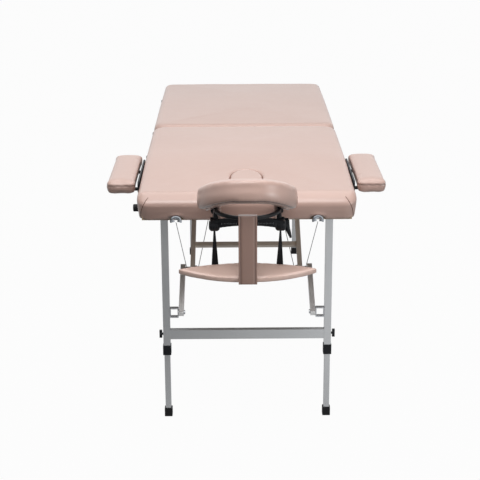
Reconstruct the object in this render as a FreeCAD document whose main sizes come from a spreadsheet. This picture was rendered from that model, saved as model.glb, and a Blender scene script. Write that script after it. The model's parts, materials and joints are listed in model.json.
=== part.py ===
import FreeCAD, Part
import math
import os
import re

from FreeCAD import Placement, Rotation, Vector

# A portable massage table that folds like a suitcase: two padded halves hinged at the
# underside, aluminium leg frames with telescopic feet, folding struts and stay cables,
# two armrests, a tilting face cradle and a hanging arm shelf.
# +Z is up, +Y runs from the head end to the foot end, and the origin is on the floor.

SIZES = {
    # padded halves
    "half_length": 930, "table_width": 700, "fold_gap": 3,
    "frame_bottom": 705, "rail_depth": 61, "rail_wall": 20, "side_padding": 16,
    "fold_padding": 6, "deck_thickness": 5, "foam_height": 38, "crown": 7,
    "corner_radius": 38, "edge_radius": 26, "drawn_in": 5, "skirt_lift": 1,
    "skirt_clear": 5, "cut_over": 1,
    # hinge at the fold
    "hinge_drop": 8, "knuckle_radius": 6.5, "hinge_pin_radius": 2.2, "hinge_leaf": 2,
    "hinge_leaf_length": 32, "knuckle_length": 14, "knuckle_gap": 0.3, "hinge_inset": 65,
    # legs
    "leg_pivot_inset": 68, "leg_pivot_rise": 23, "head_leg_inset": 84,
    "foot_leg_inset": 112, "leg_tube": 23, "leg_wall": 1.8, "leg_top": 12,
    "outer_bottom": 230, "inner_tube": 19, "inner_wall": 1.5, "inner_top": 430,
    "crossbar_height": 296, "crossbar_tall": 32, "crossbar_deep": 20,
    "collar_width": 27, "collar_tall": 34, "collar_below": 6,
    "shoe_width": 26, "shoe_tall": 30, "shoe_floor": 6,
    "pivot_radius": 5, "running_fit": 0.05, "slide_fit": 0.1, "soft_gap": 0.3,
    "clevis_plate": 4, "clevis_gap": 0.4, "clevis_deep": 34, "clevis_below": 12,
    "pin_reach": 3,
    "knob_stem_radius": 4, "knob_reach": 13, "knob_bar": 26, "knob_thick": 9,
    # folding struts
    "bracket_height": 372, "bracket_tall": 33, "bracket_deep": 19, "bracket_wall": 3,
    "brace_inset": 49, "brace_tube": 17, "strut_bolt_radius": 4, "strut_end": 10,
    "hanger_inset": 82, "hanger_tube": 16, "hanger_pivot_inset": 48,
    "hanger_pivot_rise": 46, "strut_slack": 0.3, "hanger_bar_from_knee": 114,
    "hanger_bar_deep": 20, "hanger_bar_thick": 10, "tube_wall": 1.5,
    "knee_nut_radius": 8, "heel_nut_radius": 7, "axle_seat": 13, "knee_nut_length": 8, "knee_gap": 0.5,
    # cables
    "cup_inset": 125, "cup_radius": 20, "cup_rise": 8, "cup_drop": 4, "cable_radius": 1.3,
    "cable_from_brace": 3, "stay_offset": 80, "stay_drop": 10,
    # bumper feet
    "bumper_radius": 12, "bumper_reach": 16, "bumper_rise": 21, "bumper_from_end": 87,
    "bumper_from_fold": 195,
    # armrests
    "armrest_length": 385, "armrest_width": 100, "armrest_thick": 42, "armrest_gap": 11,
    "armrest_from_end": 345, "armrest_bar_spacing": 220, "armrest_bar_width": 24,
    "armrest_bar_thick": 6, "armrest_bar_rise": 43, "armrest_bar_inside": 48,
    "armrest_bar_under": 62, "sleeve_wall": 3, "sleeve_reach": 4,
    # breath hole
    "hole_width": 110, "hole_length": 160, "hole_from_end": 185, "plug_gap": 0.6,
    "plug_height": 48,
    # face cradle
    "cradle_reach": 274, "rod_offset": 101, "rod_radius": 7, "rod_rise": 37,
    "rod_inside": 70, "socket_wall": 3, "socket_flange": 4, "socket_flange_lip": 4,
    "hub_from_end": 130, "hub_radius": 16, "hub_length": 26, "yoke_arch": 12, "yoke_below": 14,
    "ring_radius": 97, "ring_band": 12, "ring_thick": 11, "ring_rise": 36, "ring_post": 14, "strap_bar_radius": 5,
    "yoke_thick": 26, "yoke_deep": 14, "yoke_ahead": 4, "tilt_angle": 18, "platform_thick": 8,
    "platform_rise": 52, "platform_margin": 28, "ear_thick": 10, "ear_radius": 13, "face_width": 306,
    "face_length": 252, "face_band": 92,
    "face_thick": 74, "face_crown": 10, "lever_length": 52, "lever_thick": 11,
    "lever_width": 14, "lever_head_radius": 12, "lever_pin_radius": 4,
    # hanging arm shelf
    "shelf_width": 440, "shelf_depth": 156, "shelf_thick": 18, "shelf_height": 578,
    "shelf_bow": 93, "strap_width": 56, "strap_thick": 3, "side_strap_width": 21,
    "side_strap_offset": 101, "side_strap_thick": 2,
}

# Places that follow the padded halves: heights from the frame's bottom, offsets from its side.
SIZES |= {
    "leg_pivot_height": "=frame_bottom + leg_pivot_rise",
    "hanger_pivot_height": "=frame_bottom + hanger_pivot_rise",
    "bumper_height": "=frame_bottom + bumper_rise",
    "armrest_bar_height": "=frame_bottom + armrest_bar_rise",
    "rod_height": "=frame_bottom + rod_rise",
    "hinge_offset": "=table_width / 2 - hinge_inset",
    "head_leg_offset": "=table_width / 2 - head_leg_inset",
    "foot_leg_offset": "=table_width / 2 - foot_leg_inset",
    "cup_offset": "=table_width / 2 - cup_inset",
    "armrest_bar_inner": "=table_width / 2 - armrest_bar_inside",
}

doc = FreeCAD.newDocument("massage_table")
sheet = doc.addObject("Spreadsheet::Sheet", "sizes")
for row, (name, size) in enumerate(SIZES.items(), start=1):
    sheet.set(f"A{row}", name)
    sheet.set(f"B{row}", str(size))
    sheet.setAlias(f"B{row}", name)
doc.recompute()

WORD = re.compile(r"[A-Za-z_]+")
AXES = {
    "x": Rotation(Vector(0, 1, 0), 90),
    "y": Rotation(Vector(1, 0, 0), -90),
    "z": Rotation(),
}
HALVES = {"head": -1, "foot": 1}
SIDES = {"left": -1, "right": 1}
nodes = {}


def val(expression):
    """Work out an expression over the sheet's sizes as a number."""
    total = doc.getObject("probe") or doc.addObject("App::FeaturePython", "probe")
    if "number" not in total.PropertiesList:
        total.addProperty("App::PropertyFloat", "number")
    total.setExpression("number", bound(expression))
    total.recompute()
    return total.number


def bound(expression):
    """Point each size's name in an expression at its cell."""
    return WORD.sub(lambda word: "sizes." + word.group() if word.group() in SIZES else word.group(),
                    str(expression))


def bind(item, **sizes):
    for prop, expression in sizes.items():
        item.setExpression(prop, bound(expression))
    return item


def put(item, x, y, z):
    """Bind the place of an object to the sheet."""
    for prop, expression in zip("xyz", (x, y, z)):
        item.setExpression("Placement.Base." + prop, bound(expression))
    return item


def box(name, size, centre):
    """A block by its size and its centre, both along X, Y and Z."""
    item = doc.addObject("Part::Box", name)
    bind(item, Length=size[0], Width=size[1], Height=size[2])
    return put(item, *(f"({c}) - ({s}) / 2" for c, s in zip(centre, size)))


def bar(name, axis, radius, length, start):
    """A round bar that starts at a point and runs along +X, +Y or +Z."""
    item = doc.addObject("Part::Cylinder", name)
    item.Placement.Rotation = AXES[axis]
    bind(item, Radius=radius, Height=length)
    return put(item, *start)


def cut(name, base, *tools):
    item = doc.addObject("Part::Cut", name)
    item.Base = base
    item.Tool = tools[0] if len(tools) == 1 else fuse(name + "_tools", *tools)
    return item


def fuse(name, *pieces):
    item = doc.addObject("Part::MultiFuse", name)
    item.Shapes = list(pieces)
    return item


def group(name, *pieces):
    """Separate solids that share one node."""
    item = doc.addObject("Part::Compound", name)
    item.Links = list(pieces)
    return item


def shaped(name, shape):
    """A form that the primitives don't give, made from curves."""
    item = doc.addObject("Part::Feature", name)
    item.Shape = shape
    return item


def node(name, item):
    item.Label = name
    nodes[name] = item
    return item


def tube(name, width, wall, length, centre):
    """A square tube standing along Z."""
    outer = box(name + "_outer", (width, width, length), centre)
    inner_width = f"{width} - 2 * {wall}"
    inner = box(name + "_bore", (inner_width, inner_width, f"({length}) + 2 * cut_over"), centre)
    return cut(name + "_tube", outer, inner)


def along(half, inset):
    """The Y of a point that lies so far from the fold, in either half."""
    return f"{HALVES[half]} * ({inset}) + cradle_reach / 2"


def from_end(half, inset):
    return along(half, f"half_length - ({inset})")


def prism(points, depth):
    """A flat outline in YZ, drawn out evenly on both sides of X = 0."""
    wire = Part.makePolygon([Vector(-depth / 2, y, z) for y, z in points + points[:1]])
    return Part.Face(wire).extrude(Vector(depth, 0, 0))


# Padded halves

def arc_wire(points):
    """A closed outline through corners: each entry is a point, or a via point and a point."""
    edges = []
    here = points[0]
    for step in points[1:] + points[:1]:
        if isinstance(step, tuple):
            edges.append(Part.Arc(here, step[0], step[1]).toShape())
            here = step[1]
        elif (step - here).Length > 1e-6:
            edges.append(Part.LineSegment(here, step).toShape())
            here = step
    return Part.Wire(edges)


def rounded_plan(width, length, radius):
    """A rectangle with rounded corners about the origin, at Z = 0."""
    x, y, q = width / 2, length / 2, radius * (1 - math.sqrt(0.5))
    return arc_wire([
        Vector(radius - x, -y, 0), Vector(x - radius, -y, 0),
        (Vector(x - q, q - y, 0), Vector(x, radius - y, 0)), Vector(x, y - radius, 0),
        (Vector(x - q, y - q, 0), Vector(x - radius, y, 0)), Vector(radius - x, y, 0),
        (Vector(q - x, y - q, 0), Vector(-x, y - radius, 0)), Vector(-x, radius - y, 0),
        (Vector(q - x, q - y, 0), Vector(radius - x, -y, 0)),
    ])


EDGE_STEPS = (30, 60, 90)
CROWN_STEPS = (0.3, 0.8)


def pillow(width, length, bottom, top, crown, edge, drawn, corner):
    """A cushion about the Z axis: sides drawn in below, rounded edges and a crowned top."""
    shoulder = top - edge
    levels = [(drawn, bottom), (drawn / 3, (bottom + shoulder) / 2), (0, shoulder)]
    for angle in map(math.radians, EDGE_STEPS):
        levels.append((edge * (1 - math.cos(angle)), shoulder + edge * math.sin(angle)))
    middle = min(width, length) / 2 - edge
    for share in CROWN_STEPS:
        levels.append((edge + share * middle, top + crown * math.sin(share * math.pi / 2)))
    outlines = []
    for inset, height in levels:
        wide, long = width - 2 * inset, length - 2 * inset
        outline = rounded_plan(wide, long, min(corner, wide / 3, long / 3))
        outline.translate(Vector(0, 0, height))
        outlines.append(outline)
    return Part.makeLoft(outlines, True, True)


RAIL_OUTER = "(table_width / 2 - side_padding)"
RAIL_INNER = "(table_width / 2 - side_padding - rail_wall)"
RAIL_MIDDLE = "(frame_bottom + rail_depth / 2)"
DECK_BOTTOM = "(frame_bottom + rail_depth)"
DECK_TOP = "(frame_bottom + rail_depth + deck_thickness)"
FOLD_FACE = "(fold_gap / 2 + fold_padding)"
FRAME_LENGTH = f"(half_length - side_padding - {FOLD_FACE})"
FRAME_CENTRE = f"(({FRAME_LENGTH}) / 2 + {FOLD_FACE})"
SLEEVE_WIDTH = "(armrest_bar_width + 2 * sleeve_wall)"
SLEEVE_TALL = "(armrest_bar_thick + 2 * sleeve_wall)"
BAR_PLACES = [f"armrest_from_end + {sign} * armrest_bar_spacing / 2" for sign in (-1, 1)]
BUMPER_PLACES = ["half_length - bumper_from_end", "bumper_from_fold"]
SOCKET_RADIUS = "(rod_radius + socket_wall)"
CLEAR = "2 * running_fit"


def sleeve_block(name, side, inset, clearance):
    """The space of an armrest sleeve through the skirt and the side rail."""
    length = f"table_width / 2 + sleeve_reach - {RAIL_INNER}"
    middle = f"{SIDES[side]} * ({RAIL_INNER} + ({length}) / 2)"
    size = (length, f"{SLEEVE_WIDTH} + {clearance}", f"{SLEEVE_TALL} + {clearance}")
    return box(name, size, (middle, from_end("head", inset), "armrest_bar_height"))


def bumper_bar(name, half, inset, radius, length):
    start = (f"-{RAIL_OUTER} - ({length})", along(half, inset), "bumper_height")
    return bar(name, "x", radius, length, start)


def socket_bar(name, side, radius, start_inset, length):
    start = (f"{SIDES[side]} * rod_offset", from_end("head", start_inset), "rod_height")
    return bar(name, "y", radius, length, start)


def cup_disc(name, half, side, radius, outside):
    """A round cup let into the skirt at the end and seated on the end rail."""
    start = from_end(half, f"-({outside})" if half == "head" else "side_padding")
    return bar(name, "y", radius, f"side_padding + {outside}",
               (f"{SIDES[side]} * cup_offset", start, "frame_bottom + cup_rise"))


def breath_hole(name, gap, bottom, height):
    """An oval block in the head half, smaller than the hole by a gap."""
    item = doc.addObject("Part::Ellipse", name + "_outline")
    bind(item, MajorRadius=f"hole_length / 2 - {gap}", MinorRadius=f"hole_width / 2 - {gap}")
    item.Placement.Rotation = Rotation(Vector(0, 0, 1), 90)
    put(item, "0", from_end("head", "hole_from_end"), bottom)
    solid = doc.addObject("Part::Extrusion", name)
    solid.Base = item
    solid.DirMode = "Custom"
    solid.Dir = Vector(0, 0, 1)
    solid.Solid = True
    return bind(solid, LengthFwd=height)


def axle_bar(name, half, radius):
    """The hanger's axle across the half, let into both side rails."""
    reach = f"({RAIL_INNER} + axle_seat)"
    return bar(name, "x", radius, f"2 * {reach}",
               (f"-{reach}", along(half, "hanger_pivot_inset"), "hanger_pivot_height"))


def build_rails(half):
    sides = []
    for side, sign in SIDES.items():
        name = f"{half}_{side}_rail"
        place = (f"{sign} * ({RAIL_OUTER} - rail_wall / 2)", along(half, FRAME_CENTRE), RAIL_MIDDLE)
        rail = box(name, ("rail_wall", FRAME_LENGTH, "rail_depth"), place)
        axle = axle_bar(name + "_axle_seat", half, "pivot_radius + running_fit")
        tools = [axle]
        if half == "head":
            for count, inset in enumerate(BAR_PLACES):
                tools.append(sleeve_block(f"{name}_sleeve_hole{count}", side, inset, CLEAR))
        sides.append(cut(name + "_drilled", rail, *tools))
    node(f"{half}_side_rails", group(f"{half}_side_rails", *sides))

    across = (f"2 * {RAIL_INNER}", "rail_wall", "rail_depth")
    fold_place = ("0", along(half, f"{FOLD_FACE} + rail_wall / 2"), RAIL_MIDDLE)
    end_place = ("0", from_end(half, "side_padding + rail_wall / 2"), RAIL_MIDDLE)
    fold_rail = box(f"{half}_fold_rail", across, fold_place)
    end_rail = box(f"{half}_end_rail", across, end_place)
    if half == "head":
        bores = [socket_bar(f"rail_bore_{side}", side, f"{SOCKET_RADIUS} + running_fit", "0",
                            "side_padding + rail_wall + cut_over")
                 for side in SIDES]
        end_rail = cut("head_end_rail_bored", end_rail, *bores)
    node(f"{half}_cross_rails", group(f"{half}_cross_rails", fold_rail, end_rail))


def build_deck(half):
    size = (f"2 * {RAIL_OUTER}", FRAME_LENGTH, "deck_thickness")
    place = ("0", along(half, FRAME_CENTRE), f"{DECK_BOTTOM} + deck_thickness / 2")
    deck = box(f"{half}_board", size, place)
    if half == "head":
        hole = breath_hole("deck_hole", "0", DECK_BOTTOM, "deck_thickness")
        deck = cut("head_board_holed", deck, hole)
    node(f"{half}_deck", deck)


def build_cushion(half):
    length = val("half_length - fold_gap / 2")
    form = pillow(val("table_width"), length, val("frame_bottom + skirt_lift"),
                  val(f"{DECK_TOP} + foam_height"), val("crown"), val("edge_radius"),
                  val("drawn_in"), val("corner_radius"))
    form.translate(Vector(0, val(along(half, "half_length / 2 + fold_gap / 4")), 0))
    foam = shaped(f"{half}_foam", form)
    size = (f"2 * {RAIL_OUTER}", FRAME_LENGTH, "2 * (rail_depth + deck_thickness)")
    place = ("0", along(half, FRAME_CENTRE), f"{DECK_TOP} - rail_depth - deck_thickness")
    tools = [box(f"{half}_frame_space", size, place)]
    for count, inset in enumerate(BUMPER_PLACES):
        tools.append(bumper_bar(f"{half}_bumper_hole{count}", half, inset,
                                "bumper_radius + soft_gap", "side_padding + bumper_reach"))
    for side in SIDES:
        tools.append(cup_disc(f"{half}_{side}_cup_hole", half, side, "cup_radius + soft_gap", "skirt_clear"))
    if half == "head":
        for side in SIDES:
            for count, inset in enumerate(BAR_PLACES):
                tools.append(sleeve_block(f"skirt_{side}_sleeve{count}", side, inset, "soft_gap"))
            tools.append(socket_bar(f"skirt_{side}_socket", side, f"{SOCKET_RADIUS} + soft_gap",
                                    "-skirt_clear", "side_padding + 2 * skirt_clear"))
        tools.append(breath_hole("foam_hole", "0", DECK_BOTTOM,
                                 "deck_thickness + foam_height + crown + cut_over"))
    node(f"{half}_cushion", cut(f"{half}_cushion", foam, *tools))


def build_bumpers(half):
    feet = [bumper_bar(f"{half}_bumper{count}", half, inset, "bumper_radius",
                       "side_padding + bumper_reach") for count, inset in enumerate(BUMPER_PLACES)]
    node(f"{half}_bumper_feet", group(f"{half}_bumper_feet", *feet))


# Hinge at the fold

KNUCKLES = {"head": (-2, 0, 2), "foot": (-1, 1)}
HINGE_WIDTH = "(5 * knuckle_length + 4 * knuckle_gap)"
HINGE_HEIGHT = "(frame_bottom - hinge_drop)"


def build_hinges(half):
    leaves = []
    for side, sign in SIDES.items():
        middle = f"{sign} * hinge_offset"
        name = f"{half}_{side}_hinge"
        start = "knuckle_radius + knuckle_gap"
        plate = box(name + "_plate", (HINGE_WIDTH, f"hinge_leaf_length - ({start})", "hinge_leaf"),
                    (middle, along(half, f"(hinge_leaf_length + {start}) / 2"),
                     "frame_bottom - hinge_leaf / 2"))
        pieces = [plate]
        for count in KNUCKLES[half]:
            centre = f"{middle} + ({count}) * (knuckle_length + knuckle_gap)"
            pieces.append(bar(f"{name}_knuckle{count + 2}", "x", "knuckle_radius", "knuckle_length",
                              (f"{centre} - knuckle_length / 2", along(half, "0"), HINGE_HEIGHT)))
            pieces.append(box(f"{name}_neck{count + 2}",
                              ("knuckle_length", f"{start} + hinge_leaf", "hinge_leaf"),
                              (centre, along(half, f"({start} + hinge_leaf) / 2"),
                               "frame_bottom - hinge_leaf / 2")))
        bore = bar(name + "_bore", "x", "hinge_pin_radius + running_fit", f"{HINGE_WIDTH} + 2 * cut_over",
                   (f"{middle} - {HINGE_WIDTH} / 2 - cut_over", along(half, "0"), HINGE_HEIGHT))
        leaves.append(cut(name + "_leaf", fuse(name + "_rolled", *pieces), bore))
    if half == "head":
        leaves += [bar(f"{side}_hinge_pin", "x", "hinge_pin_radius", HINGE_WIDTH,
                       (f"{sign} * hinge_offset - {HINGE_WIDTH} / 2", along(half, "0"), HINGE_HEIGHT))
                   for side, sign in SIDES.items()]
    node(f"{half}_hinge_leaves", group(f"{half}_hinge_leaves", *leaves))


# Legs

def leg_x(half, side):
    return f"{SIDES[side]} * {half}_leg_offset"


def leg_y(half):
    return from_end(half, "leg_pivot_inset")


def build_clevises(half):
    """Clevis plates under the deck with the pins that the leg frame turns on."""
    clevises, pins = [], []
    width = "(leg_tube + 2 * clevis_gap + 2 * clevis_plate)"
    bottom = "(leg_pivot_height - clevis_below)"
    tall = f"({DECK_BOTTOM} - {bottom})"
    for side in SIDES:
        name = f"{half}_{side}_clevis"
        place = (leg_x(half, side), leg_y(half), f"{bottom} + {tall} / 2")
        body = box(name + "_block", (width, "clevis_deep", tall), place)
        slot = box(name + "_slot", ("leg_tube + 2 * clevis_gap", "clevis_deep + 2 * cut_over", tall),
                   (place[0], place[1], f"{bottom} + {tall} / 2 - clevis_plate"))
        ends = f"{leg_x(half, side)} - {width} / 2 - pin_reach"
        hole = bar(name + "_hole", "x", "pivot_radius + running_fit", f"{width} + 2 * pin_reach",
                   (ends, leg_y(half), "leg_pivot_height"))
        clevises.append(cut(name, body, slot, hole))
        pins.append(bar(f"{half}_{side}_leg_pin", "x", "pivot_radius", f"{width} + 2 * pin_reach",
                        (ends, leg_y(half), "leg_pivot_height")))
    node(f"{half}_leg_clevises", group(f"{half}_leg_clevises", *clevises))
    node(f"{half}_leg_pins", group(f"{half}_leg_pins", *pins))


def build_leg_frame(half):
    """Two outer tubes and the crossbar between them, welded into an H."""
    top = "leg_pivot_height + leg_top"
    length = f"({top} - outer_bottom)"
    pieces, tools = [], []
    for side, sign in SIDES.items():
        name = f"{half}_{side}_outer"
        pieces.append(tube(name, "leg_tube", "leg_wall", length,
                           (leg_x(half, side), leg_y(half), f"outer_bottom + {length} / 2")))
        tools.append(bar(name + "_pin_hole", "x", "pivot_radius + running_fit", "leg_tube + 2 * cut_over",
                         (f"{leg_x(half, side)} - leg_tube / 2 - cut_over", leg_y(half), "leg_pivot_height")))
        tools.append(bar(name + "_knob_hole", "x", "knob_stem_radius + running_fit", "leg_tube / 2",
                         (f"{leg_x(half, side)} + ({sign} - 1) * leg_tube / 4 + {sign} * cut_over",
                          leg_y(half), "crossbar_height")))
    span = f"2 * {half}_leg_offset - leg_tube"
    pieces.append(box(f"{half}_crossbar", (span, "crossbar_deep", "crossbar_tall"),
                      ("0", leg_y(half), "crossbar_height")))
    frame = fuse(f"{half}_leg_welded", *pieces)
    node(f"{half}_leg_frame", cut(f"{half}_leg_frame", frame, *tools))


def build_collars(half):
    """Plastic sleeves on the lower ends of the outer tubes."""
    collars = []
    for side in SIDES:
        name = f"{half}_{side}_collar"
        x, y = leg_x(half, side), leg_y(half)
        middle = "outer_bottom - collar_below + collar_tall / 2"
        body = box(name + "_block", ("collar_width", "collar_width", "collar_tall"), (x, y, middle))
        seat = box(name + "_seat", ("leg_tube", "leg_tube", "collar_tall"),
                   (x, y, "outer_bottom + collar_tall / 2"))
        bore_width = "inner_tube + 2 * slide_fit"
        bore = box(name + "_bore", (bore_width, bore_width, "2 * collar_tall"), (x, y, middle))
        collars.append(cut(name, body, seat, bore))
    node(f"{half}_leg_collars", group(f"{half}_leg_collars", *collars))


def build_inner_legs(half):
    for side in SIDES:
        name = f"{half}_{side}"
        x, y = leg_x(half, side), leg_y(half)
        length = "(inner_top - shoe_floor)"
        node(name + "_inner_leg", tube(name + "_inner", "inner_tube", "inner_wall", length,
                                       (x, y, f"shoe_floor + {length} / 2")))
        shoe = box(name + "_shoe_block", ("shoe_width", "shoe_width", "shoe_tall"),
                   (x, y, "shoe_tall / 2"))
        pocket = box(name + "_shoe_pocket", ("inner_tube", "inner_tube", "shoe_tall"),
                     (x, y, "shoe_floor + shoe_tall / 2"))
        node(name + "_shoe", cut(name + "_shoe", shoe, pocket))


def build_knobs(half):
    """Clamp knobs: a stem in the outer tube and a cross grip outside."""
    for side, sign in SIDES.items():
        name = f"{half}_{side}_knob"
        face = f"{leg_x(half, side)} + {sign} * (leg_tube / 2)"
        inner = "(leg_wall - slide_fit)"
        length = f"(knob_reach + {inner})"
        start = f"{face} + ({sign} - 1) * {length} / 2 - {sign} * {inner}"
        stem = bar(name + "_stem", "x", "knob_stem_radius", length, (start, leg_y(half), "crossbar_height"))
        grip = box(name + "_grip", ("knob_thick", "knob_thick", "knob_bar"),
                   (f"{face} + {sign} * (knob_reach - knob_thick / 2)", leg_y(half), "crossbar_height"))
        disc = bar(name + "_disc", "x", "knob_thick", "knob_thick / 2",
                   (f"{face} + {sign} * (knob_reach - knob_thick * 3 / 4) - knob_thick / 4",
                    leg_y(half), "crossbar_height"))
        node(name, fuse(name, stem, grip, disc))


# Folding struts: a brace from the leg to the knee, a hanger from the knee to the fold

def strut_plane():
    """The strut's points in the plane of the leg, as inset from the end and height.

    The hanger's length lets the strut lie flat in the frame when the leg is folded, and
    leaves it a little longer than the straight line from heel to hinge when the leg stands.
    """
    leg = Vector(val("leg_pivot_inset"), val("leg_pivot_height"), 0)
    arm = val("leg_pivot_height - bracket_height")
    heel = leg + Vector(0, -arm, 0)
    hinge = Vector(val("half_length - hanger_pivot_inset"), val("hanger_pivot_height"), 0)
    folded_span = hinge - (leg + Vector(arm, 0, 0))
    span = hinge - heel
    total = span.Length + val("strut_slack")
    reach = (total ** 2 - folded_span.Length ** 2) / (2 * (total - folded_span.x))
    brace = total - reach
    share = (brace ** 2 - reach ** 2 + span.Length ** 2) / (2 * span.Length)
    sag = math.sqrt(brace ** 2 - share ** 2)
    way = Vector(span).normalize()
    knee = heel + way * share + Vector(way.y, -way.x, 0) * sag
    return heel, knee, hinge, brace, reach


def strut_place(half, start, finish):
    """Put a piece drawn along +Y from the origin on the line between two points of the strut."""
    turn = math.degrees(math.atan2(finish.y - start.y, -HALVES[half] * (finish.x - start.x)))
    y = val(from_end(half, str(start.x)))
    return Placement(Vector(0, y, start.y), Rotation(Vector(1, 0, 0), turn))


def brace_x(half, side):
    return f"{SIDES[side]} * ({half}_leg_offset - brace_inset)"


def hanger_x(half, side):
    return f"{SIDES[side]} * ({half}_leg_offset - hanger_inset)"


def strut_tube(name, width, length, x):
    """A square tube along +Y with closed ends and a bolt hole near each end."""
    outer = box(name + "_outer", (width, f"{length} + 2 * strut_end", width), (x, f"{length} / 2", "0"))
    hollow = f"{width} - 2 * tube_wall"
    inner = box(name + "_inner", (hollow, f"{length} - 2 * strut_end", hollow), (x, f"{length} / 2", "0"))
    holes = [bar(f"{name}_hole{count}", "x", f"{radius} + running_fit", f"{width} + 2 * cut_over",
                 (f"{x} - {width} / 2 - cut_over", place, "0"))
             for count, (place, radius) in enumerate([("0", "strut_bolt_radius"), (length, "pivot_radius")])]
    return outer, [inner, *holes]


def build_brackets(half):
    """Box brackets on the legs' inner faces, each with the brace's bolt."""
    brackets = []
    for side, sign in SIDES.items():
        name = f"{half}_{side}_bracket"
        outer = f"({half}_leg_offset - leg_tube / 2)"
        cheek = f"({half}_leg_offset - brace_inset + brace_tube / 2 + soft_gap)"
        middle = f"{sign} * ({outer} + {cheek}) / 2"
        place = (middle, leg_y(half), "bracket_height")
        body = box(name + "_block", (f"{outer} - {cheek}", "bracket_deep", "bracket_tall"), place)
        hollow = box(name + "_hollow", (f"{outer} - {cheek} - 2 * bracket_wall",
                                        "bracket_deep + 2 * cut_over",
                                        "bracket_tall - 2 * bracket_wall"), place)
        reach = "(brace_tube + 2 * soft_gap + bracket_wall)"
        start = f"{sign} * ({cheek} + bracket_wall) - {reach} / 2 + {sign} * (-{reach} / 2)"
        bolt = bar(name + "_bolt", "x", "strut_bolt_radius", reach, (start, leg_y(half), "bracket_height"))
        nut_length = "knee_nut_length / 2"
        nut_start = f"{sign} * ({cheek} - brace_tube - 2 * soft_gap) - (1 + {sign}) * {nut_length} / 2"
        nut = bar(name + "_nut", "x", "heel_nut_radius", nut_length,
                  (nut_start, leg_y(half), "bracket_height"))
        brackets.append(fuse(name, cut(name + "_frame", body, hollow), bolt, nut))
    node(f"{half}_brace_brackets", group(f"{half}_brace_brackets", *brackets))


def build_struts(half):
    heel, knee, hinge, brace, reach = strut_plane()
    braces = []
    for side in SIDES:
        outer, tools = strut_tube(f"{half}_{side}_brace", "brace_tube", str(brace), brace_x(half, side))
        braces.append(cut(f"{half}_{side}_brace", outer, *tools))
    pair = node(f"{half}_braces", group(f"{half}_braces", *braces))
    pair.Placement = strut_place(half, heel, knee)

    tubes, tools = [], []
    for side in SIDES:
        outer, drilled = strut_tube(f"{half}_{side}_hanger", "hanger_tube", str(reach),
                                    hanger_x(half, side))
        tubes.append(outer)
        tools.extend(drilled)
    span = f"2 * ({half}_leg_offset - hanger_inset) - hanger_tube"
    tubes.append(box(f"{half}_hanger_bar", (span, "hanger_bar_deep", "hanger_bar_thick"),
                     ("0", "hanger_bar_from_knee", "0")))
    frame = cut(f"{half}_hanger", fuse(f"{half}_hanger_welded", *tubes), *tools)
    node(f"{half}_hanger", frame).Placement = strut_place(half, knee, hinge)

    bolts = []
    for side, sign in SIDES.items():
        name = f"{half}_{side}_knee"
        outside = f"({half}_leg_offset - brace_inset - brace_tube / 2 - knee_gap)"
        inside = f"({half}_leg_offset - hanger_inset - hanger_tube / 2)"
        length = f"({outside} - {inside} + knee_nut_length / 2)"
        y, z = str(val(from_end(half, str(knee.x)))), str(knee.y)
        shank = bar(name + "_shank", "x", "strut_bolt_radius", length,
                    (f"{sign} * ({outside} - {length} / 2) - {length} / 2", y, z))
        nut = bar(name + "_nut", "x", "knee_nut_radius", "knee_nut_length",
                  (f"{sign} * ({inside} - knee_nut_length / 2) - knee_nut_length / 2", y, z))
        bolts.append(fuse(name, shank, nut))
    node(f"{half}_knee_bolts", group(f"{half}_knee_bolts", *bolts))

    node(f"{half}_hanger_axle", axle_bar(f"{half}_hanger_axle", half, "pivot_radius"))


# Stay cables

def straight_cable(start, finish, radius):
    way = finish - start
    return Part.makeCylinder(radius, way.Length, start, way)


def build_cables(half):
    heel, knee, hinge, *lengths = strut_plane()
    knee_y = val(from_end(half, str(knee.x)))
    hinge_y = val(along(half, "hanger_pivot_inset"))
    lowered = Vector(0, 0, -val("stay_drop"))
    radius = val("cable_radius")
    runs, cups = [], []
    for side, sign in SIDES.items():
        name = f"{half}_{side}_cup"
        disc = cup_disc(name + "_disc", half, side, "cup_radius", "0")
        below = box(name + "_below", ("3 * cup_radius", "4 * side_padding", "2 * cup_radius"),
                    (f"{sign} * cup_offset", from_end(half, "0"), "frame_bottom - cup_drop - cup_radius"))
        cups.append(cut(name, disc, below))
        below_cup = Vector(sign * val("cup_offset"), val(from_end(half, "side_padding / 2")),
                           val("frame_bottom - cup_drop") - radius)
        nut_end = val(f"{half}_leg_offset - hanger_inset - hanger_tube / 2 - knee_nut_length")
        knee_bolt = Vector(sign * val(f"{half}_leg_offset - brace_inset - brace_tube / 2 - cable_from_brace"),
                           knee_y, knee.y + val("strut_bolt_radius") + radius)
        runs.append(straight_cable(below_cup, knee_bolt, radius))
        inner_end = Vector(sign * (nut_end - radius), knee_y, knee.y)
        anchor = Vector(sign * val("stay_offset"), hinge_y, hinge.y) + lowered
        runs.append(straight_cable(inner_end + lowered, anchor, radius))
    node(f"{half}_cable_cups", group(f"{half}_cable_cups", *cups))
    node(f"{half}_cables", shaped(f"{half}_cables", Part.Compound(runs)))


# Armrests

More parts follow.
